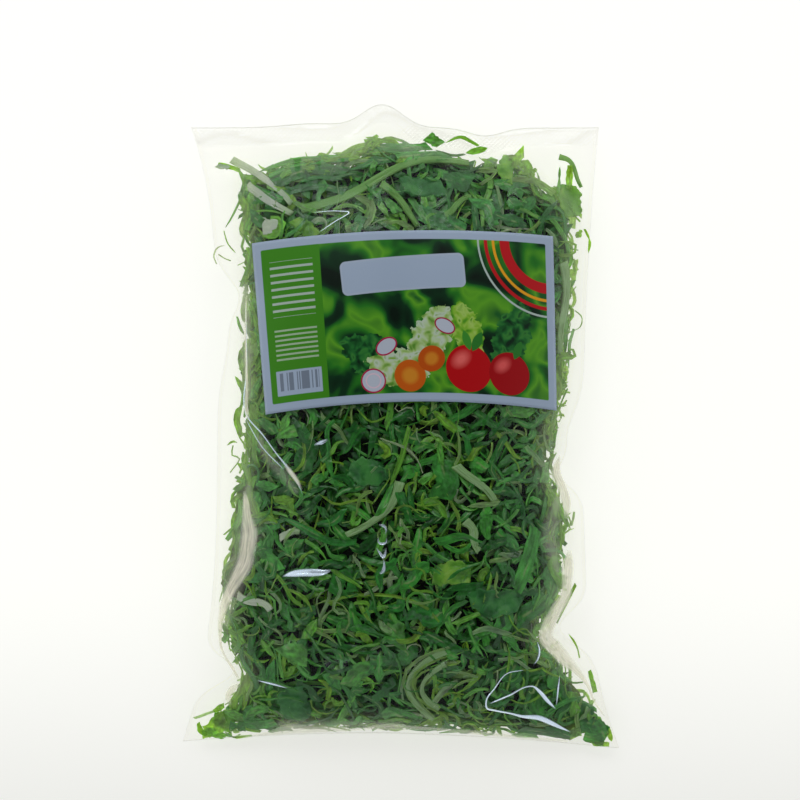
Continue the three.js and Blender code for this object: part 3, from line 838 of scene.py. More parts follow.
# paints one shape of the print over the colour under it, and gives the colour that results
def paintShape(tree, place, under, shape, greens):
    form, middle, (width, height), turn, ink, more = shape
    local = addNode(tree, "Mapping", {
        "Vector": place["frilled" if form == "salad" else "plain"], "Location": (*middle, 0),
        "Rotation": (0, 0, math.radians(turn))}, vector_type="TEXTURE")
    if form in ("disc", "ring"):
        scaled = addNode(tree, "VectorMath", {0: local, 1: (1 / width, 1 / height, 0)}, operation="MULTIPLY")
        reach = addNode(tree, "VectorMath", {0: scaled}, operation="LENGTH")
        distance = addNode(tree, "Math", {0: reach, 1: width, 2: -width}, operation="MULTIPLY_ADD")
        if form == "ring":
            apart = addNode(tree, "Math", {0: distance}, operation="ABSOLUTE")
            distance = addNode(tree, "Math", {0: apart, 1: more["wide"]}, operation="SUBTRACT")
    else:
        # a leaf is where two wide discs overlap, a box has its corners rounded
        rounding = more["round"] if form == "box" else (height ** 2 + width ** 2) / (2 * width)
        corner = (rounding - width, rounding - height if form == "box" else 0, 0)
        mirrored = addNode(tree, "VectorMath", {0: local}, operation="ABSOLUTE")
        shifted = addNode(tree, "VectorMath", {0: mirrored, 1: corner}, operation="ADD")
        kept = addNode(tree, "VectorMath", {0: shifted, 1: (0, 0, 0)}, operation="MAXIMUM")
        reach = addNode(tree, "VectorMath", {0: kept}, operation="LENGTH")
        distance = addNode(tree, "Math", {0: reach, 1: rounding}, operation="SUBTRACT")
    soft = more.get("soft", 0.15)
    cover = addNode(tree, "MapRange", {
        "Value": distance, "From Min": -soft, "From Max": soft, "To Min": 1, "To Max": 0})
    if "stripes" in more:
        pitch, share = more["stripes"]
        along = addNode(tree, "SeparateXYZ", {"Vector": local})
        phase = addNode(tree, "Math", {0: along.outputs["Y"], 1: pitch / 2}, operation="PINGPONG")
        line = addNode(tree, "Math", {0: phase, 1: pitch * share / 2}, operation="LESS_THAN")
        cover = addNode(tree, "Math", {0: cover, 1: line}, operation="MULTIPLY")
    if "bars" in more:
        along = addNode(tree, "SeparateXYZ", {"Vector": local})
        cell = addNode(tree, "Math", {0: along.outputs["X"], 1: more["bars"]}, operation="SNAP")
        chance = addNode(tree, "TexWhiteNoise", {"W": cell}, noise_dimensions="1D")
        bar = addNode(tree, "Math", {0: chance, 1: 0.45}, operation="GREATER_THAN")
        cover = addNode(tree, "Math", {0: cover, 1: bar}, operation="MULTIPLY")
    if "within" in more:
        cover = addNode(tree, "Math", {0: cover, 1: place["panel"]}, operation="MULTIPLY")
    colour = greens[ink] if ink in greens else linear(ink)
    return addNode(tree, "Mix", {0: cover, 6: under, 7: colour}, data_type="RGBA")


def makeLabelMaterial():
    # offset print on white coated paper, its white painted a dull grey-blue as painted shade: flat ink
    # colours with a soft sheen
    material, tree = newMaterial("gloss-coated printed label paper")
    mapped = addNode(tree, "UVMap", uv_map="OFBake")
    plain = addNode(tree, "VectorMath", {
        0: mapped, 1: (labelForm["width"], labelForm["height"], 0)}, operation="MULTIPLY")
    ripple = addNode(tree, "TexNoise", {"Vector": plain, "Scale": 0.3, "Detail": 2})
    shift = addNode(tree, "VectorMath", {
        0: ripple.outputs["Color"], 1: (9, 9, 0), 2: (-4.5, -4.5, 0)}, operation="MULTIPLY_ADD")
    frilled = addNode(tree, "VectorMath", {0: plain, 1: shift}, operation="ADD")
    centred = addNode(tree, "VectorMath", {
        0: plain, 1: (labelForm["width"] / 2, labelForm["height"] / 2, 0)}, operation="SUBTRACT")
    spread = addNode(tree, "VectorMath", {0: centred}, operation="ABSOLUTE")
    insetCorner = addNode(tree, "VectorMath", {0: spread, 1: (*labelForm["panel"], 0)}, operation="SUBTRACT")
    sides = addNode(tree, "SeparateXYZ", {"Vector": insetCorner})
    past = addNode(tree, "Math", {0: sides.outputs["X"], 1: sides.outputs["Y"]}, operation="MAXIMUM")
    panel = addNode(tree, "Math", {0: past, 1: 0.0}, operation="LESS_THAN")
    place = {"plain": plain, "frilled": frilled, "panel": panel}
    greens = {}
    for index, (name, stops) in enumerate(labelGreens.items()):
        size = labelForm["foliageScale" if name == "foliage" else "leafScale"]
        moved = addNode(tree, "Mapping", {"Vector": plain, "Location": (31 * index, 17 * index, 0)})
        blotch = addNode(tree, "TexNoise", {
            "Vector": moved, "Scale": size, "Detail": 1.5, "Distortion": 0.5})
        ramp = addNode(tree, "ValToRGB", {"Fac": blotch})
        setStops(ramp, list(zip(labelForm["stops"], stops)))
        greens[name] = ramp
    colour = addNode(tree, "RGB")
    colour.outputs["Color"].default_value = linear(labelForm["paper"])
    for shape in labelPrint:
        colour = paintShape(tree, place, colour, shape, greens)
    surface = addNode(tree, "BsdfPrincipled", {
        "Base Color": colour, "Roughness": 0.45, "Specular IOR Level": 0.15})
    addNode(tree, "OutputMaterial", {"Surface": surface})
    return material


def makeLabel():
    label = newPiece("label", newGrid(labelForm["columns"], labelForm["rows"]))
    grid = pointsOf(label)
    u, v = grid[:, 0], grid[:, 1]

    def edge(left, right, bow):
        share = (u + 1) / 2
        return (left[0] + (right[0] - left[0]) * share,
                left[1] + (right[1] - left[1]) * share + bow * (1 - u * u))

    (lowX, lowY), (highX, highY) = edge(*labelForm["bottom"]), edge(*labelForm["top"])
    share = (v + 1) / 2
    x, y = lowX + (highX - lowX) * share, lowY + (highY - lowY) * share
    s, t = placeOf(x, y)
    movePoints(label, x, y, skinAt(s, t, 0)[0] + labelForm["lift"])
    setMap(label, (grid[:, :2] + 1) / 2)
    thicken(label, "thickness", labelForm["thickness"], 1)
    label.data.materials.append(makeLabelMaterial())
    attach(label, "root")
    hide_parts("label")


makeLabel()
print("label made")


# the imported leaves
packForm = {
    "coreDepth": 8.5,           # of the dense core below the film
    "paintedBacklitShade": 0.9,           # shreds along the thin edges get a paler shade, a painted backlight; paler leaf also lets more light through
    "edgeDensity": 0.14,        # how thin the shreds lie along the edges, and how far in
    "edgeReach": (1, 13),
    "denseEnds": ((1.7, 136, 146), (0.6, 122, 132)),    # how densely, and where, at the fold and at the seal
    "litReach": (1, 14),        # how far in the painted edge light reaches, and where it fades near the fold
    "darkEnd": (134, 146),
    "lengthPower": 1.3,         # short and narrow shreds are the commoner
    "widthPower": 1.4,
    "coreLumps": 3.5,
    "lumpNoise": ((11, 0.3), (4.5, 8.1)),       # size and seed of broad and fine lumps
    "wellInside": 8,            # distance inside the outline past which the pile's depth is averaged
    "aboveLabel": 93,
    "clearance": 0.6,           # between the film and the topmost leaf
    "slack": 0.4,
    "leastPile": 0.3,
    "overlap": 0.08,            # share of a shred that may cover a loose piece
    "restSteps": 5,
    "sag": (0.12, 0.1),         # how far a shred sags between its neighbours, along and across
    "tiltLimit": 0.7,
    "endDrop": 1.2,
    "leafThickness": 0.3,
    "overhang": 3.5,            # how far ends stick out of the outline
    "levels": 64,               # shades of leaf, one column of the colour map each
    "spine": 8,
    "bundle": 26,               # size of the patches in which shreds lie roughly alike
    "pointed": 0.28,            # share of the ends that are drawn out to a tip
    "lean": (0.5, 0.7),         # how much shreds stand on one edge, and how much that turns along them
    "lineStep": 0.5,            # shreds whose way is given: fineness of the way, ragged sides, liveliness
    "lineRagged": 0.09,
    "lineLiveliness": 0.6,
    "crown": 0.13,              # how much the middle or the edges stand up, as a share of the width
    "arch": 3.2,
}
# maps of the bag in steps of a millimetre
mapLowX, mapLowY, mapHighX, mapHighY = -116, -170, 116, 170
mapX, mapY = np.meshgrid(np.arange(mapLowX, mapHighX + 1.0), np.arange(mapLowY, mapHighY + 1.0))


# a map's value at any place, from the four around it
def readMap(values, x, y):
    column = np.clip(x - mapLowX, 0, values.shape[1] - 1.001)
    row = np.clip(y - mapLowY, 0, values.shape[0] - 1.001)
    c, r = column.astype(int), row.astype(int)
    across, up = column - c, row - r
    low = values[r, c] * (1 - across) + values[r, c + 1] * across
    high = values[r + 1, c] * (1 - across) + values[r + 1, c + 1] * across
    return low * (1 - up) + high * up


frontMap, backMap = filmHeight(mapX, mapY), filmHeight(mapX, mapY, False)
outlineMap = outlineDistance(mapX, mapY)
packMap = fillDistance(mapX, mapY)
roomMap = np.maximum(frontMap - backMap, 0.1)
slopeMaps = {"front": np.gradient(frontMap)[::-1], "back": np.gradient(backMap)[::-1]}
inwardX, inwardY = np.gradient(outlineMap)[::-1]
broad, fine = [noiseAt(mapX.ravel(), mapY.ravel(), size, seed).reshape(mapX.shape)
               for size, seed in packForm["lumpNoise"]]
lumpMap = broad + 0.5 * fine


# depth of the core below the film, where the pile starts
def startDepth():
    deep = packForm["coreDepth"] + packForm["coreLumps"] * lumpMap
    edge = smooth(packMap, -2, 9)
    return np.minimum(deep * edge + (1 - edge) * 30, roomMap / 2 - 0.2)


# kinds of shred: share of the whole, length, width, how much each curls, how ragged its sides are, and shades
kindKeys = ("share", "length", "width", "curl", "ragged", "shades")
shredKinds = [dict(zip(kindKeys, row)) for row in (
    (0.44, (9, 28), (1.8, 4.4), 0.5, 0.07, (0.0, 0.74)),
    (0.11, (8, 25), (1.6, 3.8), 0.7, 0.09, (0.64, 0.86)),
    (0.10, (9, 26), (1.4, 3.2), 0.5, 0.06, (0.88, 0.97)),
    (0.12, (9, 22), (4.4, 7.4), 0.25, 0.09, (0.04, 0.72)),
    (0.02, (13, 22), (8.0, 12.0), 0.1, 0.07, (0.1, 0.6)),
    (0.21, (12, 34), (0.6, 1.4), 1.1, 0.04, (0.36, 1.0)),
)]
slackKinds = [dict(zip(kindKeys, row)) for row in (
    (0.6, (7, 18), (1.6, 5), 0.6, 0.09, (0.86, 0.97)),
    (0.4, (8, 22), (0.8, 1.8), 1.2, 0.05, (0.84, 1.0)),
)]
# layers from the core outwards: name, face, how many handfuls, seed, shreds in a handful, and whether they
# leave the loose pieces in sight
packLayers = [
    ("frontShredsLow", "front", 1650, 21, 3, False),
    ("frontShredsTop", "front", 1900, 22, 3, True),
    ("backShreds", "back", 1850, 23, 3, False),
]
overLayer = ("frontShredsOver", "front", 560, 24, 1, True)


def makeLeafMaterial():
    # chopped raw leaf: soft waxy sheen, thin enough to glow yellow-green where light is behind it
    material, tree = newMaterial("chopped chicory leaf")
    mapped = addNode(tree, "UVMap", uv_map="OFBake")
    split = addNode(tree, "SeparateXYZ", {"Vector": mapped})
    cells = addNode(tree, "Math", {0: split.outputs["X"], 1: packForm["levels"]}, operation="MULTIPLY")
    level = addNode(tree, "Math", {0: cells}, operation="FLOOR")
    across = addNode(tree, "Math", {0: cells}, operation="FRACT")
    shade = addNode(tree, "Math", {0: level, 1: packForm["levels"] - 1}, operation="DIVIDE")
    colour = addNode(tree, "ValToRGB", {"Fac": shade})
    setStops(colour, leafShades)
    streaks = addNode(tree, "CombineXYZ", {"X": cells, "Y": split.outputs["Y"]})
    # streaks along the veins, about 0.5 mm apart across a 3 mm shred
    fineMap = addNode(tree, "Mapping", {"Vector": streaks, "Scale": (5, 12, 1)})
    veins = addNode(tree, "TexNoise", {"Vector": fineMap, "Scale": 1.0, "Detail": 2})
    fineTone = addNode(tree, "MapRange", {
        "Value": veins, "From Min": 0.3, "From Max": 0.7, "To Min": 0.52, "To Max": 1.5})
    # lighter and darker stretches, each a third of a shred long
    broadMap = addNode(tree, "Mapping", {"Vector": streaks, "Location": (3, 7, 0), "Scale": (1.8, 4.5, 1)})
    patches = addNode(tree, "TexNoise", {"Vector": broadMap, "Scale": 1.0, "Detail": 1})
    broadTone = addNode(tree, "MapRange", {
        "Value": patches, "From Min": 0.3, "From Max": 0.7, "To Min": 0.68, "To Max": 1.3})
    tone = addNode(tree, "Math", {0: fineTone, 1: broadTone}, operation="MULTIPLY")
    tinted = addNode(tree, "VectorMath", {0: colour, "Scale": tone}, operation="SCALE")
    # a pale vein down the middle of about one shred in three
    fromVein = addNode(tree, "Math", {0: across, 1: 0.46}, operation="SUBTRACT")
    toVein = addNode(tree, "Math", {0: fromVein}, operation="ABSOLUTE")
    line = addNode(tree, "MapRange", {
        "Value": toVein, "From Min": 0.03, "From Max": 0.1, "To Min": 0.75, "To Max": 0.0})
    veined = addNode(tree, "MapRange", {
        "Value": patches, "From Min": 0.54, "From Max": 0.6, "To Min": 0.0, "To Max": 1.0})
    vein = addNode(tree, "Math", {0: line, 1: veined}, operation="MULTIPLY")
    leafColour = addNode(tree, "Mix", {0: vein, 6: tinted, 7: linear("A9C47C")}, data_type="RGBA")
    backlit = addNode(tree, "ValToRGB", {"Fac": shade})
    setStops(backlit, [(0.5, "BCE83C"), (0.8, "CCEC5A"), (0.9, "DCF090"), (1.0, "F2F6D6")])
    glow = addNode(tree, "Mix", {0: 0.6, 6: leafColour, 7: backlit}, data_type="RGBA")
    # folds and wrinkles, 3 mm apart
    place = addNode(tree, "TexCoord")
    wrinkles = addNode(tree, "TexNoise", {"Vector": place.outputs["Object"], "Scale": 330, "Detail": 1.5})
    relief = addNode(tree, "Bump", {"Strength": 0.7, "Distance": 0.0012, "Height": wrinkles})
    leaf = addNode(tree, "BsdfPrincipled", {
        "Base Color": leafColour, "Roughness": 0.3, "Specular IOR Level": 0.75, "Normal": relief})
    through = addNode(tree, "BsdfTranslucent", {"Color": glow, "Normal": relief})
    # young, pale leaf lets more light through
    passing = addNode(tree, "MapRange", {
        "Value": shade, "From Min": 0.6, "From Max": 0.86, "To Min": 0.4, "To Max": 0.78})
    whole = addNode(tree, "MixShader", {"Fac": passing, 1: leaf, 2: through})
    addNode(tree, "OutputMaterial", {"Surface": whole})
    return material


leafShades = [
    (0.0, "164C1C"), (0.14, "388E34"), (0.26, "226A2A"), (0.4, "56B444"), (0.52, "38903C"), (0.64, "78C850"),
    (0.74, "92D04E"), (0.83, "B4E058"), (0.89, "C4E69A"), (0.95, "C4E4BC"), (1.0, "ECF4DA"),
]
leafMaterial = makeLeafMaterial()


# lays spines of even length over the film's face, from each middle outwards
def laySpines(x, y, heading, length, face):
    along = heading.shape[1]
    half = along // 2
    slopeX, slopeY = slopeMaps[face]
    spineX, spineY = np.empty(heading.shape), np.empty(heading.shape)
    spineX[:, half], spineY[:, half] = x, y
    step = length / (along - 1)
    for sign in (1, -1):
        hereX, hereY = x.copy(), y.copy()
        for index in range(half, along - 1 if sign > 0 else 0, sign):
            turn = (heading[:, index] + heading[:, index + sign]) / 2
            cosine, sine = np.cos(turn) * sign, np.sin(turn) * sign
            slope = readMap(slopeX, hereX, hereY) * cosine + readMap(slopeY, hereX, hereY) * sine
            reach = step / np.sqrt(1 + slope ** 2)
            hereX, hereY = hereX + cosine * reach, hereY + sine * reach
            spineX[:, index + sign], spineY[:, index + sign] = hereX, hereY
    return spineX, spineY


# draws one number for each shred: an even one from 0 to 1, or one spread around 0
def drawsFor(random, count):
    return lambda: random.random((count, 1)), lambda size: random.normal(0, size, (count, 1))


# gives each spine its width, its cut ends, and how far its middle and its edges stand off the pile
def shapeShreds(random, spineX, spineY, width, ragged, face, liveliness=1.0):
    count, along = spineX.shape
    u = np.linspace(-1, 1, along)[None, :]
    chance, spread = drawsFor(random, count)
    aheadX, aheadY = np.gradient(spineX, axis=1), np.gradient(spineY, axis=1)
    size = np.maximum(np.hypot(aheadX, aheadY), 1e-6)
    aheadX, aheadY = aheadX / size, aheadY / size
    tips = [np.where(chance() < packForm["pointed"], 0.92, 0.22 * chance()) for _ in (0, 1)]
    taper = 1 - np.where(u < 0, tips[0], tips[1]) * np.abs(u) ** (1.8 + 2.5 * chance())
    taper = taper * (1 - 0.65 * (chance() < 0.15) * bump(u - chance() + 0.5, 0.25))
    lean, turn = packForm["lean"]
    lean = np.clip(spread(lean) + spread(turn) * u, -1.2, 1.2)
    lean = lean * np.minimum(4 / width, 1)[:, None] * liveliness
    edges = np.clip(1 + ragged[:, None, None] * random.normal(0, 1, (count, along, 2)), 0.4, 1.5)
    half = width[:, None, None] / 2 * taper[..., None] * edges
    slopeX, slopeY = slopeMaps[face]
    slope = readMap(slopeX, spineX, spineY) * aheadY - readMap(slopeY, spineX, spineY) * aheadX
    narrow = np.cos(lean) / np.sqrt(1 + slope ** 2)
    offsets = np.stack([-half[..., 0], np.zeros(half.shape[:2]), half[..., 1]], axis=-1) * narrow[..., None]
    # ends cut at a slant
    slant = np.where(u < 0, spread(0.55), spread(0.55)) * np.clip(4 * np.abs(u) - 3, 0, 1)
    pointX = spineX[..., None] + (aheadY + aheadX * slant)[..., None] * offsets
    pointY = spineY[..., None] + (aheadY * slant - aheadX)[..., None] * offsets
    rise = np.sin(lean) * width[:, None] * taper
    crown = spread(packForm["crown"]) * width[:, None] * taper
    arch = packForm["arch"] * liveliness * (chance() < 0.5) * chance() ** 2
    arch = arch * np.clip(1 - (u - spread(0.4)) ** 2, 0, 1)
    trough = np.maximum(-crown, 0)
    lift = np.stack([np.maximum(rise, 0) + trough, np.abs(rise) / 2 + np.maximum(crown, 0),
                     np.maximum(-rise, 0) + trough], axis=-1) + arch[..., None]
    return {"x": pointX, "y": pointY, "width": width, "lift": lift}


# shreds strewn over one face of the pile, ready to be laid
def makeShreds(random, count, face, kinds):
    along = packForm["spine"]
    u = np.linspace(-1, 1, along)[None, :]
    chance, spread = drawsFor(random, count)
    kind = random.choice(len(kinds), count, p=[each["share"] for each in kinds])

    def valuesOf(key):
        return np.array([each[key] for each in kinds])[kind]

    def within(key, share):
        low, high = valuesOf(key).T
        return low + (high - low) * share

    length = within("length", random.random(count) ** packForm["lengthPower"])
    width = within("width", random.random(count) ** packForm["widthPower"])
    curl = valuesOf("curl")[:, None]
    # centres anywhere in the outline, denser where the face is steep, thin along the edges
    slopeX, slopeY = slopeMaps[face]
    least = packForm["edgeDensity"]
    thin = least + (1 - least) * smooth(outlineMap, *packForm["edgeReach"])
    (foldShare, *foldReach), (sealShare, *sealReach) = packForm["denseEnds"]
    thin = np.maximum(thin, foldShare * smooth(-mapY, *foldReach) + sealShare * smooth(mapY, *sealReach))
    usable = (packMap > 0.5) & (roomMap > 3 - 1.2 * smooth(-mapY, 136, 142))
    weight = np.where(usable, np.hypot(1, np.hypot(slopeX, slopeY)) * thin, 0).ravel()
    if kinds is slackKinds:
        weight = ((packMap < 2.5) & (outlineMap > 0.5) & (roomMap > 2.5)).ravel() * 1.0
    cell = random.choice(weight.size, count, p=weight / weight.sum())
    x = mapX.ravel()[cell] + random.random(count) - 0.5
    y = mapY.ravel()[cell] + random.random(count) - 0.5
    shade = within("shades", random.beta(1.3, 1.4, count))
    # near the edges the shade is pulled paler, a painted backlight, less of it near the fold; paler shades
    # also let more real light through
    atEdge = 1 - smooth(outlineMap.ravel()[cell], *packForm["litReach"])
    atEdge = atEdge * (1 - 0.6 * smooth(-y, *packForm["darkEnd"]))
    shade = shade + (packForm["paintedBacklitShade"] - shade) * atEdge * (0.55 + 0.45 * random.random(count))
    # neighbours lie roughly alike; some bend sharply
    flow = 9 * noiseAt(x, y, packForm["bundle"], 4.4 if face == "front" else 6.6)[:, None]
    heading = flow + spread(0.9) + spread(1) * curl * u + spread(0.35) * np.sin(3 * u + chance() * 6)
    heading = heading + spread(1.2) * (chance() < 0.45) * smooth(u - chance() * 1.2 + 0.6, -0.12, 0.12)
    # those at the edges follow the outline
    alongEdge = np.arctan2(readMap(inwardX, x, y), -readMap(inwardY, x, y))
    off = (heading.mean(1) - alongEdge + math.pi / 2) % math.pi - math.pi / 2
    heading = heading - (0.85 * (1 - smooth(readMap(outlineMap, x, y), 3, 14)) * off)[:, None]
    spineX, spineY = laySpines(x, y, heading, length, face)
    shreds = shapeShreds(random, spineX, spineY, width, valuesOf("ragged"), face)
    shreds["shade"] = shade
    return shreds


# shreds whose way is given: each line says shade, width and the points that it runs through
def layLines(random, lines, face):
    spines = []
    for _, _, points in lines:
        run = runThrough(points, packForm["lineStep"])
        at = np.linspace(0, len(run) - 1, packForm["spine"])
        spines.append([np.interp(at, np.arange(len(run)), run[:, part]) for part in (0, 1)])
    spines = np.array(spines)
    width = np.array([line[1] for line in lines], float)
    ragged = np.full(len(lines), packForm["lineRagged"])
    shreds = shapeShreds(random, spines[:, 0], spines[:, 1], width, ragged, face, packForm["lineLiveliness"])
    shreds["shade"] = np.array([line[0] for line in lines], float)
    return shreds


# weights that turn values at even places into values at finer ones
def finer(count, parts):
    places = np.arange(parts * (count - 1) + 1)[:, None] / parts
    return np.maximum(1 - np.abs(places - np.arange(count)[None, :]), 0)


spreadAlong, spreadAcross = finer(packForm["spine"], 3), finer(3, 2).T


# depth at which a shred comes to rest on the pile: it bridges hollows and follows lumps
def restDepth(depthMap, rows, columns, width):
    ground = depthMap[rows, columns]
    padded = np.vstack([ground[:1], ground, ground[-1:]])
    ground = padded.reshape(packForm["spine"], 3, 5).min(1)
    depth = np.stack([ground[:, :2].min(1), ground[:, 1:4].min(1), ground[:, 3:].min(1)], axis=1)
    sagAlong, sagAcross = packForm["sag"]
    for _ in range(packForm["restSteps"]):
        depth[1:-1] = np.minimum(depth[1:-1], (depth[:-2] + depth[2:]) / 2 + sagAlong)
        depth[:, 1] = np.minimum(depth[:, 1], (depth[:, 0] + depth[:, 2]) / 2 + sagAcross)
    lean = width * packForm["tiltLimit"]
    depth[:, 0] = np.minimum(depth[:, 0], depth[:, 2] + lean)
    depth[:, 2] = np.minimum(depth[:, 2], depth[:, 0] + lean)
    depth[0] = np.minimum(depth[0], depth[1] + packForm["endDrop"])
    depth[-1] = np.minimum(depth[-1], depth[-2] + packForm["endDrop"])
    return depth - packForm["leafThickness"] / 2 - 0.05


# map cells under each shred
def cellsOf(x, y):
    fineX, fineY = spreadAlong @ x @ spreadAcross, spreadAlong @ y @ spreadAcross
    columns = np.clip(np.rint(fineX - mapLowX).astype(int), 0, mapX.shape[1] - 1)
    rows = np.clip(np.rint(fineY - mapLowY).astype(int), 0, mapX.shape[0] - 1)
    return rows, columns


# lays one shred of each handful, the one whose place is lowest, and raises the pile there
def pileUp(face, shreds, tries, leastRoom, loose, sparing):
    depthMap = depthMaps[face]
    rows, columns = cellsOf(shreds["x"], shreds["y"])
    outside = (packMap[rows, columns].min((1, 2)) < -packForm["overhang"]) & (not loose)
    outside |= (keptFree[rows, columns].mean((1, 2)) > packForm["overlap"]) & sparing
    usable = ~(outside | (roomMap[rows, columns].min((1, 2)) < leastRoom))
    chosen, depths = [], []
    for start in range(0, len(usable), tries):
        options = [i for i in range(start, min(start + tries, len(usable))) if usable[i]]
        if not options:
            continue
        best = max(options, key=lambda i: depthMap[rows[i], columns[i]].mean())
        depth = restDepth(depthMap, rows[best], columns[best], shreds["width"][best])
        middle = roomMap[rows[best], columns[best]].reshape(-1, 5)[::3, ::2] / 2
        depth = np.minimum(depth, middle)
        if depth.mean() < packForm["clearance"] + packForm["leastPile"] and not loose:
            continue
        # those laid later may lie a little nearer the film
        least = np.minimum(packForm["clearance"] + packForm["slack"] * (1 - start / len(usable)), middle)
        depth = np.maximum(depth - shreds["lift"][best], least)
        fine = spreadAlong @ depth @ spreadAcross - packForm["leafThickness"] / 2
        cells = rows[best], columns[best]
        depthMap[cells] = np.minimum(depthMap[cells], fine)
        chosen.append(best)
        depths.append(depth)
    return np.array(chosen), np.array(depths)


# height of a place at some depth below the front or above the back
def faceHeightAt(x, y, depth, face):
    if face == "front":
        return readMap(frontMap, x, y) - depth
    return readMap(backMap, x, y) + depth


# one piece of all the shreds laid; its colour map has a column for each level of shade
def finishShreds(name, x, y, depth, shade, face):
    z = faceHeightAt(x, y, depth, face)
    count, along = x.shape[:2]
    piece = stripSheet(name, [along] * count, 3)
    movePoints(piece, x, y, z)
    levels = packForm["levels"]
    level = np.floor(np.clip(shade, 0, 0.999) * levels)
    mapU = np.broadcast_to((level[:, None, None] + np.array([0.04, 0.5, 0.96])) / levels, x.shape)
    start = (np.arange(count) * 0.381) % 0.6
    mapV = np.broadcast_to(start[:, None, None] + np.linspace(0.01, 0.39, along)[None, :, None], x.shape)
    setMap(piece, np.stack([mapU, mapV], axis=-1).reshape(-1, 2))
    thicken(piece, "leafThickness", packForm["leafThickness"], 0)
    piece.data.materials.append(leafMaterial)
    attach(piece, "root")
    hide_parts("shredded_leaves")


# loose rib strips and leaf pieces: each runs from one point to another and bows sideways in between
ribStrips = [
    ((-85, 134), (-54.5, 111), 2, 3.4), ((-77, 121), (-54, 106), -1, 4),
    ((-69, 99.8), (-59.5, 98.5), 0, 9), ((-50, 108), (34, 131.8), 5, 4), ((-10, 120.5), (8, 99), 2, 3.2),
    ((21.6, 104.5), (35, 114.5), 1, 2.8), ((27, -19), (46.5, -37), 1, 4),
    ((-0.5, -27), (-27, -53.5), 5, 4), ((-60, -55), (-50, -51.8), 1, 3.5),
    ((22, -111), (16.5, -146), -15.5, 2.5), ((22, -117.5), (19, -141), -10, 2),
    ((81, 82), (79, 36), 1.5, 3.6), ((31.5, -46.5), (38.5, -61.5), 1, 4),
    ((-81.5, -84), (-64.5, -91), 0.5, 3.8), ((-92, 131.3), (-86.5, 129.6), 0, 2.6),
    ((79.5, 135.5), (90.5, 120), 2.5, 2),
]
leafPieces = [
    ((-53, 103), (-42, 94.5), 7, "pale_leaf"), ((53, 136), (52, 122.5), 8, "pale_leaf"),
    ((84, 121), (86, 105), 11, "pale_leaf"), ((0, 120), (21.5, 119), 10, "deep_leaf"),
    ((-54.5, -130), (-52.5, -147), 16, "deep_leaf"), ((16, -72), (34.5, -72.5), 12, "pale_leaf"),
    ((-83, -144), (-93.5, -149.5), 8.5, "pale_leaf"), ((88, -140), (97, -150.5), 10, "deep_leaf"),
    ((-26, -21.5), (-7, -22.5), 13, "deep_leaf"), ((34, -86.5), (59.5, -88), 13.5, "deep_leaf"),
]


# places that later shreds leave free, so that the loose pieces stay in sight
def placesOf(pieces):
    taken = np.zeros(mapX.shape, bool)
    for (x0, y0), (x1, y1), bow, width in pieces:
        length = math.hypot(x1 - x0, y1 - y0)
        share = ((mapX - x0) * (x1 - x0) + (mapY - y0) * (y1 - y0)) / length ** 2
        aside = ((mapY - y0) * (x1 - x0) - (mapX - x0) * (y1 - y0)) / length - bow * 4 * share * (1 - share)
        taken |= (share > 0) & (share < 1) & (np.abs(aside) < width / 2)
    return taken


keptFree = placesOf(ribStrips + [(start, end, 0, 0.65 * width) for start, end, width, kind in leafPieces])
depthMaps = {"front": startDepth(), "back": startDepth()}


def layShreds(name, face, shreds, tries=1, leastRoom=1.3, loose=False, sparing=False):
    chosen, depths = pileUp(face, shreds, tries, leastRoom, loose, sparing)
    finishShreds(name, shreds["x"][chosen], shreds["y"][chosen], depths, shreds["shade"][chosen], face)
    left = float(depthMaps[face][packMap > packForm["wellInside"]].mean())
    print(name, "laid:", len(chosen), "mean depth left", round(left, 2))


def makeLayer(name, face, count, seed, tries, sparing):
    shreds = makeShreds(np.random.default_rng(seed), count * tries, face, shredKinds)
    layShreds(name, face, shreds, tries, sparing=sparing)


for layer in packLayers:
    makeLayer(*layer)


looseForm = {
    "along": 25, "across": 13,
    "ribThickness": 0.8, "leafThickness": 0.36,
    "crown": 0.35,              # how far a rib's middle stands up, and the ridges along it
    "ridges": 0.14,
    "sway": 0.04,
    "curl": 0.9,
    "deepest": 1.9,
    "settleSteps": 8,
    "sag": 0.04,
    "leafSeed": 40, "ribSeed": 70,
}


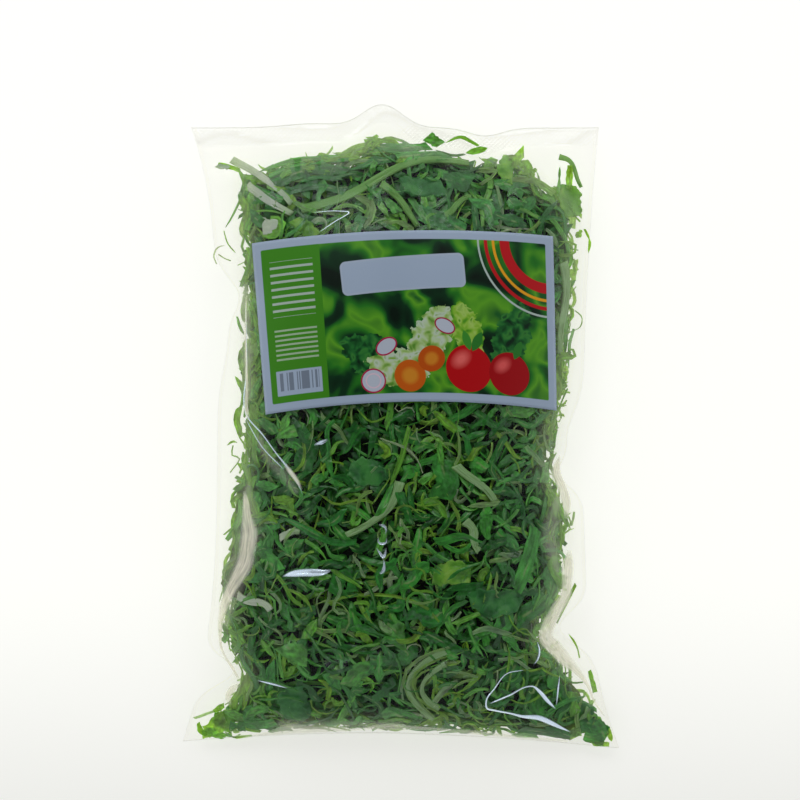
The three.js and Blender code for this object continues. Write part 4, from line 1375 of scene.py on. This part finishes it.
def makeRibMaterial():
    # cut midrib: pale, wet and stringy, fibres about 0.6 mm apart
    material, tree = newMaterial("cut chicory rib")
    mapped = addNode(tree, "UVMap", uv_map="OFBake")
    stretched = addNode(tree, "Mapping", {"Vector": mapped, "Scale": (7, 1.5, 1)})
    fibres = addNode(tree, "TexNoise", {"Vector": stretched, "Scale": 1.0, "Detail": 3})
    colour = addNode(tree, "ValToRGB", {"Fac": fibres})
    setStops(colour, [(0.28, "8CB668"), (0.4, "B2D496"), (0.54, "D0E8C0"), (0.72, "EEF2E2")])
    # greener towards the top of the bag, right of the pale outer strips
    place = addNode(tree, "TexCoord")
    split = addNode(tree, "SeparateXYZ", {"Vector": place.outputs["Object"]})
    upper = addNode(tree, "MapRange", {
        "Value": split.outputs["Y"], "From Min": 0.09, "From Max": 0.1, "To Min": 0.5, "To Max": 0.95})
    green = addNode(tree, "MapRange", {
        "Value": split.outputs["X"], "From Min": -0.062, "From Max": -0.048, "To Min": 0.0,
        "To Max": upper})
    tinted = addNode(tree, "Mix", {
        0: green, 6: colour, 7: linear("A0D27C")}, data_type="RGBA", blend_type="MULTIPLY")
    outer = addNode(tree, "MapRange", {
        "Value": split.outputs["X"], "From Min": -0.062, "From Max": -0.048, "To Min": 0.6, "To Max": 0.0})
    whiter = addNode(tree, "Mix", {0: outer, 6: tinted, 7: linear("F4F4EA")}, data_type="RGBA")
    surface = addNode(tree, "BsdfPrincipled", {"Base Color": whiter, "Roughness": 0.35})
    through = addNode(tree, "BsdfTranslucent", {"Color": linear("DAEE9A")})
    whole = addNode(tree, "MixShader", {"Fac": 0.38, 1: surface, 2: through})
    addNode(tree, "OutputMaterial", {"Surface": whole})
    return material


def makeBladeMaterial(name, stops, glow):
    # a larger bit of leaf blade: soft sheen, faint veins about 5 mm apart
    material, tree = newMaterial(name)
    place = addNode(tree, "TexCoord")
    veins = addNode(tree, "TexVoronoi", {
        "Vector": place.outputs["Object"], "Scale": 190}, feature="DISTANCE_TO_EDGE")
    line = addNode(tree, "MapRange", {
        "Value": veins, "From Min": 0.0, "From Max": 0.06, "To Min": 1.0, "To Max": 0.0})
    patches = addNode(tree, "TexNoise", {"Vector": place.outputs["Object"], "Scale": 150, "Detail": 2.5})
    colour = addNode(tree, "ValToRGB", {"Fac": patches})
    setStops(colour, [(0.36, stops[0]), (0.5, stops[1]), (0.62, stops[2])])
    faint = addNode(tree, "Math", {0: line, 1: 0.16}, operation="MULTIPLY")
    veined = addNode(tree, "Mix", {0: faint, 6: colour, 7: linear(stops[3])}, data_type="RGBA")
    relief = addNode(tree, "Bump", {"Strength": 0.8, "Distance": 0.0016, "Height": patches})
    surface = addNode(tree, "BsdfPrincipled", {"Base Color": veined, "Roughness": 0.32, "Normal": relief})
    through = addNode(tree, "BsdfTranslucent", {"Color": linear(glow), "Normal": relief})
    whole = addNode(tree, "MixShader", {"Fac": 0.4, 1: surface, 2: through})
    addNode(tree, "OutputMaterial", {"Surface": whole})
    return material


# lets a stiff sheet down on the pile, its top just under the film
def settle(depth, thickness):
    for _ in range(looseForm["settleSteps"]):
        depth[1:-1] = np.minimum(depth[1:-1], (depth[:-2] + depth[2:]) / 2 + looseForm["sag"])
        depth[:, 1:-1] = np.minimum(depth[:, 1:-1], (depth[:, :-2] + depth[:, 2:]) / 2 + looseForm["sag"])
    return np.maximum(depth - thickness / 2 - 0.1, packForm["clearance"] + thickness / 2)


# one rib strip or leaf piece, laid on top of the pile
def makeLoose(name, start, end, bow, width, kind, seed):
    random = np.random.default_rng(seed)
    along, across = looseForm["along"], looseForm["across"]
    isRib = kind == "pale_rib"
    share = np.linspace(0, 1, along)[:, None]
    sideways = np.linspace(-1, 1, across)[None, :]
    run = np.array(end) - np.array(start)
    length = np.linalg.norm(run)
    ahead = run / length
    aside = np.array([-ahead[1], ahead[0]])
    sway = random.normal(0, looseForm["sway"]) * length * isRib
    bowed = bow * 4 * share * (1 - share) + sway * np.sin(2 * math.pi * share)
    turn = (bow * 4 * (1 - 2 * share) + sway * 2 * math.pi * np.cos(2 * math.pi * share)) / length
    fromMiddle = np.abs(2 * share - 1)
    if isRib:       # wider at one end, with uneven sides
        sides = [1.08 - 0.4 * share + 0.05 * np.sin(share * 13 + seed + part) for part in (0, 2)]
    else:           # a cut patch: waved margins and corners trimmed off
        sides = [1 + 0.1 * np.sin(share * 8 + seed + part) + 0.07 * np.sin(share * 21 + 3 * seed + part)
                 + random.normal(0, 0.04, (along, 1))
                 - random.uniform(0.1, 0.5) * smooth(fromMiddle, 0.4, 1.05) for part in (0, 2)]
    offset = sideways * width / 2 * np.where(sideways < 0, sides[0], sides[1])
    # both ends cut at a slant
    slants = random.uniform(-0.5, 0.5, 2)
    shift = offset * (slants[0] * (1 - share) ** 2 + slants[1] * share ** 2)
    lengthways = share * length + shift - offset * turn
    x = start[0] + ahead[0] * lengthways + aside[0] * (bowed + offset)
    y = start[1] + ahead[1] * lengthways + aside[1] * (bowed + offset)
    thickness = looseForm["ribThickness"] if isRib else looseForm["leafThickness"]
    depthMap = depthMaps["front"]
    depth = settle(np.minimum(readMap(depthMap, x, y), readMap(roomMap, x, y) / 2), thickness)
    depth = np.minimum(depth, looseForm["deepest"])
    if isRib:
        ridges = looseForm["ridges"] * np.cos(3 * math.pi * sideways + seed) * min(width / 3, 1)
        depth = depth - looseForm["crown"] * (1 - sideways ** 2) - ridges
    else:
        fold = np.sin(share * 4 + seed) * sideways + 0.4 * np.sin(share * 7 + 2 * seed)
        depth = depth + looseForm["curl"] * fold * (readMap(depthMap, x, y) > 2)
    depth = np.maximum(depth, packForm["clearance"] + thickness / 2)
    z = faceHeightAt(x, y, depth, "front")
    columns, rows = np.rint(x - mapLowX).astype(int), np.rint(y - mapLowY).astype(int)
    depthMap[rows, columns] = np.minimum(depthMap[rows, columns], depth - thickness / 2)
    piece = newPiece(name, newGrid(across - 1, along - 1))
    grid = pointsOf(piece)
    column = across - 1 - np.rint((grid[:, 0] + 1) / 2 * (across - 1)).astype(int)
    row = np.rint((grid[:, 1] + 1) / 2 * (along - 1)).astype(int)
    movePoints(piece, x[row, column], y[row, column], z[row, column])
    setMap(piece, (grid[:, :2] + 1) / 2)
    thicken(piece, "thickness", thickness, 0)
    piece.data.materials.append(looseMaterials[kind])
    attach(piece, "root")
    return piece


looseMaterials = {
    "pale_rib": makeRibMaterial(),
    "pale_leaf": makeBladeMaterial(
        "young chicory leaf blade", ["5CA034", "84C648", "A4D656", "C4DE86"], "BEEA34"),
    "deep_leaf": makeBladeMaterial(
        "dark chicory leaf blade", ["26682E", "3F8E46", "5AA854", "86B87A"], "98D83C"),
}
for index, (start, end, width, kind) in enumerate(leafPieces):
    name = "leafPiece%02d" % (index + 1)
    piece = makeLoose(name, start, end, 0, width, kind, looseForm["leafSeed"] + index)
    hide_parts("leaf_piece_%02d" % (index + 1))
for index, (start, end, bow, width) in enumerate(ribStrips):
    name = "ribStrip%02d" % (index + 1)
    piece = makeLoose(name, start, end, bow, width, "pale_rib", looseForm["ribSeed"] + index)
    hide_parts("rib_strip_%02d" % (index + 1))
print("loose strips and pieces laid")


# the most noticeable shreds on top of the pile, laid one by one: shade, width, and points along each
placedShreds = [
    (0.95, 1.3, [(28.3, -117.4), (19.4, -112.0), (10.5, -114.4), (3.6, -120.4), (0.1, -128.3),
        (1.1, -137.2)]),
    (0.9, 1.2, [(19.4, -115.4), (11.5, -118.9), (5.8, -124.3), (4.8, -130.3), (8.5, -137.2), (13.5, -142.1),
        (18.4, -147.1)]),
    (0.86, 1.2, [(17.4, -119.4), (10.5, -121.9), (7.0, -126.3), (8.0, -133.2), (11.0, -139.2)]),
    (0.84, 1.4, [(13.5, -124.3), (19.4, -126.3), (24.3, -129.3)]),
    (0.92, 1.6, [(19.4, -122.4), (27.3, -121.6), (38.2, -124.3)]),
    (0.9, 1.3, [(25.3, -130.3), (31.3, -126.5), (38.2, -125.3)]),
    (0.82, 1.2, [(13.5, -140.1), (18.4, -135.2), (24.3, -132.4), (31.3, -133.2)]),
    (0.94, 1.3, [(23.4, -138.7), (29.3, -137.2), (35.2, -140.1)]),
    (0.86, 1.6, [(32.3, -140.6), (40.2, -141.3), (46.1, -140.1)]),
    (0.97, 1.6, [(-2.3, -144.3), (3.6, -143.1), (10.5, -144.1), (16.4, -147.3)]),
    (0.8, 1.2, [(16.4, -129.8), (15.9, -135.2), (19.4, -140.1)]),
    (0.84, 1.5, [(-36.9, -87.8), (-28.1, -84.0), (-16.2, -82.8), (-6.3, -83.0), (2.6, -84.8), (9.5, -87.3),
        (16.4, -92.7), (18.9, -96.2)]),
    (0.96, 2.2, [(-18.2, -82.8), (-12.2, -79.8), (-7.3, -75.4), (-1.9, -74.1)]),
    (0.93, 1.4, [(-69.4, -51.2), (-66.6, -57.1), (-65.1, -63.0), (-67.4, -70.9), (-69.6, -76.9)]),
    (0.96, 2.0, [(48.9, -62.8), (54.0, -64.6), (59.1, -63.4)]),
    (0.95, 1.8, [(48.1, -115.6), (56.0, -115.4), (63.4, -120.6)]),
    (0.88, 2.0, [(-35.5, -123.5), (-28.1, -125.3), (-20.1, -127.8)]),
    (0.7, 2.6, [(-67, 120), (-59.3, 117), (-52.3, 111.2), (-42, 106.7)]),
    (0.9, 5, [(-24.2, 115), (-14.7, 110), (-17.8, 101), (-27.4, 97.8)]),
    (0.9, 3.5, [(-8.9, 99.7), (-2.5, 101.6), (6.4, 97.2)]),
    (0.3, 7, [(-64, 121), (-52, 126.5), (-38, 128.5), (-27, 127)]),
    (0.6, 3.4, [(-71, 127.5), (-60, 131.5), (-47, 134), (-32, 135)]),
    (0.42, 3, [(-66, 125), (-55, 129.5), (-40, 132), (-26, 133.5)]),
    (0.72, 2.2, [(-60, 124.5), (-48, 129.3), (-38, 130.2)]),
    (0.2, 4.6, [(-58, 116), (-46, 119.5), (-35, 118.6), (-28, 116.4)]),
    (0.5, 2.6, [(-50, 122.5), (-39, 124.6), (-29, 123)]),
    (0.78, 3.5, [(-16.6, 144), (-6.4, 142.7)]),
    (0.55, 7, [(-14, 140), (0, 139), (14, 141)]),
    (0.4, 7, [(-2, 134), (12, 136), (26, 134.5)]),
    (0.66, 1.2, [(-78.4, 125.2), (-77.8, 120.1), (-81, 112.5), (-85.4, 103.6), (-88, 99.7)]),
    (0.9, 2, [(-71.4, 113.8), (-72, 101), (-75.9, 93.4)]),
    (0.8, 4.5, [(-80, 114), (-77, 107), (-79, 100)]),
    (0.7, 4, [(-75.5, 116), (-74, 108), (-77, 98)]),
    (0.6, 6, [(13.3, 146), (20.3, 141.8)]),
    (0.74, 1.8, [(22.5, 142.6), (29.5, 145.6), (39, 141.2)]),
    (0.72, 3.4, [(32.5, 137.4), (43.5, 140)]),
    (0.83, 4, [(40.1, 134.2), (47.1, 132.4)]),
    (0.83, 8, [(58, 137.5), (58, 129)]),
    (0.83, 2.5, [(67.5, 129.7), (65.6, 125)]),
    (0.89, 4, [(55.4, 123.3), (66.9, 122.7), (76.5, 116.3)]),
    (0.66, 2, [(79.7, 130.3), (79, 116.3)]),
    (0.84, 3.3, [(85, 131), (84.1, 118.9)]),
    (0.93, 2, [(47.8, 120.1), (50.3, 104.8), (47.8, 95.9)]),
    (0.5, 9, [(8.5, 106.7), (22.3, 101), (31.8, 96.5)]),
    (0.46, 6, [(35, 111.2), (42.7, 109.9), (45.9, 99.7)]),
    (0.2, 4, [(36.3, 109.9), (37.6, 97.8)]),
    (0.3, 12, [(22, 123), (35, 122)]),
    (0.82, 4, [(90.6, 98.5), (87.9, 94.6)]),
    (0.86, 2.2, [(72.6, 106.7), (66.9, 99.7), (60.5, 95.9)]),
    (0.74, 3.8, [(16, 8), (27, -2)]),
    (0.92, 2.6, [(32.7, -39.3), (48.5, -37.6)]),
    (0.93, 2.9, [(62, -9.6), (71, -19.8)]),
    (0.42, 8, [(67, -50), (63, -66), (57, -81)]),
    (0.6, 3.2, [(18.6, -5.8), (19.9, -18.6)]),
    (0.95, 2.5, [(48.6, -62.6), (54, -63.5), (59.5, -62.6)]),
    (0.94, 2.7, [(35.4, -102.2), (40.6, -100), (53.7, -102.9)]),
    (0.1, 4.5, [(10.5, -101), (29, -111)]),
    (0.78, 4, [(-63, -36), (-53, -37)]),
    (0.6, 10, [(-58.5, -108.7), (-46.5, -115)]),
    (0.9, 1.6, [(24, -109), (10, -114), (1, -123), (3.5, -134), (16, -146.5)]),
    (0.86, 1.4, [(25, -113), (14, -117), (6, -124), (8, -134), (19, -143)]),
    (0.5, 3.4, [(-60, -44.5), (-54, -47), (-48, -50), (-40, -54.5), (-30, -57.5), (-22, -56.5)]),
    (0.7, 2.6, [(-6, -30), (0, -16), (4, 0)]),
]
# wisps outside the filling, in the slack of the film
straysInSlack = [
    (0.82, 2.6, [(-92, 131.5), (-86, 130.2), (-80.5, 128.4)]),
    (0.74, 2.2, [(-81.5, 129), (-79, 124), (-77.5, 118)]),
    (0.97, 0.7, [(-88.3, 90.6), (-91.3, 90.1), (-93.9, 85.5), (-92.4, 81.4)]),
    (0.97, 0.7, [(-91.6, 86.3), (-88, 84), (-85.2, 83)]),
    (0.9, 0.7, [(-88.7, 98), (-86.7, 91.6), (-83, 87)]),
    (0.7, 2, [(-82, 55), (-80.5, 50), (-78.5, 46)]),
    (0.66, 1.6, [(-80.6, 32), (-79.5, 35), (-78, 38)]),
    (0.84, 3.4, [(-83, 25), (-80, 21), (-77.5, 18)]),
    (0.82, 4.5, [(-80.5, 10), (-82, 3), (-79.5, -5)]),
    (0.9, 1.2, [(-87, -9.5), (-84, -7.5), (-82, -8)]),
    (0.92, 0.8, [(-85.5, -23), (-81, -15.5), (-84.5, -14.5), (-84, -9.5)]),
    (0.84, 2.2, [(-85, -38), (-82.5, -35.5), (-79.5, -34)]),
    (0.86, 0.9, [(-88.7, -54.3), (-84, -50.3)]),
    (0.84, 1.6, [(-86, -62), (-83.5, -57), (-84, -52)]),
    (0.83, 2.4, [(-87, -72), (-85, -69), (-82, -67.5)]),
    (0.93, 1, [(-91, -88), (-89.5, -83), (-87, -79)]),
    (0.84, 1.8, [(92, 99), (94.6, 93), (94, 86.9)]),
    (0.93, 1.0, [(87, 58), (90.5, 55), (89.5, 49.5), (86.5, 48)]),
    (0.95, 1.7, [(86.7, -42.7), (86.2, -46), (85.2, -49.6)]),
    (0.84, 2.4, [(87.5, -79), (83, -88), (78, -98.6)]),
    (0.88, 1.1, [(84, -104), (88, -110), (89.5, -116)]),
    (0.78, 3.4, [(94.6, -122.5), (97.5, -133.5)]),
    (0.5, 9, [(93, -149), (102.5, -154)]),
    (0.7, 6, [(93, -143), (99, -149)]),
    (0.93, 3.5, [(96.2, -137.3), (91, -147)]),
    (0.9, 2.2, [(90.7, -136.3), (88, -146.5), (88.8, -151), (90, -155.5)]),
    (0.7, 6, [(86, -133), (87.5, -144.5)]),
    (0.88, 6, [(86.7, -151), (87.5, -156.5)]),
    (0.2, 5, [(60, -151.5), (72, -153.5), (85, -156)]),
    (0.5, 4, [(72, -150.5), (85, -156)]),
    (0.84, 9, [(-88, -147), (-98, -154)]),
    (0.86, 5, [(-100, -155), (-92, -152.5)]),
    (0.72, 5, [(-95, -156), (-85, -155)]),
    (0.9, 2, [(-84, -156.8), (-75, -155.6)]),
    (0.45, 8, [(97, -149), (103, -157)]),
    (0.86, 3, [(96, -159.5), (104.8, -160)]),
    (0.4, 6, [(92, -155.5), (102, -158.5)]),
    (0.85, 2.5, [(103.5, -150), (106, -158.5)]),
    (0.8, 3, [(-102, -149), (-100.5, -153.5), (-97.5, -155)]),
    (0.95, 1.4, [(-104, -146.8), (-92.5, -142.5)]),
    (0.82, 3, [(-94, -143), (-88.7, -140)]),
    (0.66, 5, [(-88.7, -142.8), (-79, -146.4)]),
    (0.6, 5, [(-78, -146), (-74, -142.5), (-66, -141)]),
    (0.4, 6, [(-79, -149), (-70, -149.5), (-63, -148)]),
    (0.35, 6, [(-86, -150), (-78, -151)]),
    (0.95, 1.2, [(-88.7, -153.4), (-83.7, -156.5), (-81, -154.8)]),
    (0.9, 3, [(-86, -152.5), (-81, -153.5)]),
]
for name, lines, seed in (("placedShreds", placedShreds, 25), ("slackShreds", straysInSlack, 26)):
    shreds = layLines(np.random.default_rng(seed), lines, "front")
    layShreds(name, "front", shreds, leastRoom=0, loose=True)
# the last handful stays off the chosen ones above the label
chosenOnes = [(start, end, 0, width) for shade, width, points in placedShreds
              for start, end in zip(points, points[1:]) if start[1] > packForm["aboveLabel"]]
keptFree |= placesOf(chosenOnes)
makeLayer(*overLayer)
# shreds in the slack of the film, seen from the back
slackLayer = {"count": 110, "seed": 27}
shreds = makeShreds(np.random.default_rng(slackLayer["seed"]), slackLayer["count"], "back", slackKinds)
layShreds("slackLeaves", "back", shreds, loose=True)


coreForm = {
    "columns": 80, "rows": 124,
    "shrunk": 0.97,
    "drawSteps": 6,
    "inset": 1.2,
    "edge": 4.5,                # how far inside the outline it ends, and how much further at the top
    "topEdge": 6.5,
    # how far inside the outline the painted edge light and the translucency reach
    "lit": 15,
}


def makeCoreMaterial():
    # matted leaf: painted nearly black, a painted shade deep in the pile, and painted a lighter green along
    # the thin edges as painted backlight, where it also lets light through
    material, tree = newMaterial("matted chicory leaf")
    lit = addNode(tree, "Attribute", attribute_name="litThroughAndPainted")
    # painted shade and light: near-black deep down, lighter green along the edges; the same share sets the
    # real translucency
    colour = addNode(tree, "Mix", {
        0: lit.outputs["Fac"], 6: linear("0A260C"), 7: linear("6E9E44")}, data_type="RGBA")
    # bits of leaf pressed together, 2 to 3 mm across
    place = addNode(tree, "TexCoord")
    bits = addNode(tree, "TexVoronoi", {
        "Vector": place.outputs["Object"], "Scale": 380, "Randomness": 1.0}, feature="F1")
    chance = addNode(tree, "SeparateColor", {"Color": bits.outputs["Color"]})
    tone = addNode(tree, "MapRange", {
        "Value": chance.outputs["Red"], "From Min": 0.0, "From Max": 1.0, "To Min": 0.3, "To Max": 1.25})
    mottled = addNode(tree, "VectorMath", {0: colour, "Scale": tone}, operation="SCALE")
    relief = addNode(tree, "Bump", {"Strength": 1.0, "Distance": 0.002, "Height": bits})
    surface = addNode(tree, "BsdfPrincipled", {"Base Color": mottled, "Roughness": 0.6, "Normal": relief})
    through = addNode(tree, "BsdfTranslucent", {"Color": linear("C8E07A")})
    share = addNode(tree, "Math", {0: lit.outputs["Fac"], 1: 0.5}, operation="MULTIPLY")
    whole = addNode(tree, "MixShader", {"Fac": share, 1: surface, 2: through})
    addNode(tree, "OutputMaterial", {"Surface": whole})
    return material


def makeCore():
    bm = newGrid(coreForm["columns"], coreForm["rows"])
    addBack(bm)
    bmesh.ops.bridge_loops(bm, edges=[edge for edge in bm.edges if len(edge.link_faces) == 1])
    core = newPiece("packedLeafCore", bm)
    grid = pointsOf(core)
    x, y = planOf(grid[:, 0] * coreForm["shrunk"], grid[:, 1] * coreForm["shrunk"])
    # everything past the outline is drawn back to just inside it
    for _ in range(coreForm["drawSteps"]):
        inside = fillDistance(x, y)
        towardX = fillDistance(x + 0.5, y) - fillDistance(x - 0.5, y)
        towardY = fillDistance(x, y + 0.5) - fillDistance(x, y - 0.5)
        short = np.maximum(coreForm["edge"] + coreForm["topEdge"] * smooth(y, 112, 128) - inside, 0)
        size = np.maximum(np.hypot(towardX, towardY), 0.2)
        x, y = x + towardX / size * short * 0.8, y + towardY / size * short * 0.8
    depth = readMap(startDepth(), x, y) + coreForm["inset"]
    depth = np.minimum(depth, readMap(roomMap, x, y) / 2 - 0.1)
    front, back = [faceHeightAt(x, y, depth, face) for face in ("front", "back")]
    z = np.where(grid[:, 2] > -0.5, front, back)
    movePoints(core, x, y, np.maximum(z, 0.6))
    setVertexValue(core, "litThroughAndPainted", 1 - smooth(outlineDistance(x, y), coreForm["edge"], coreForm["lit"]))
    core.data.materials.append(makeCoreMaterial())
    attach(core, "root")
    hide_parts("shredded_leaves")


makeCore()
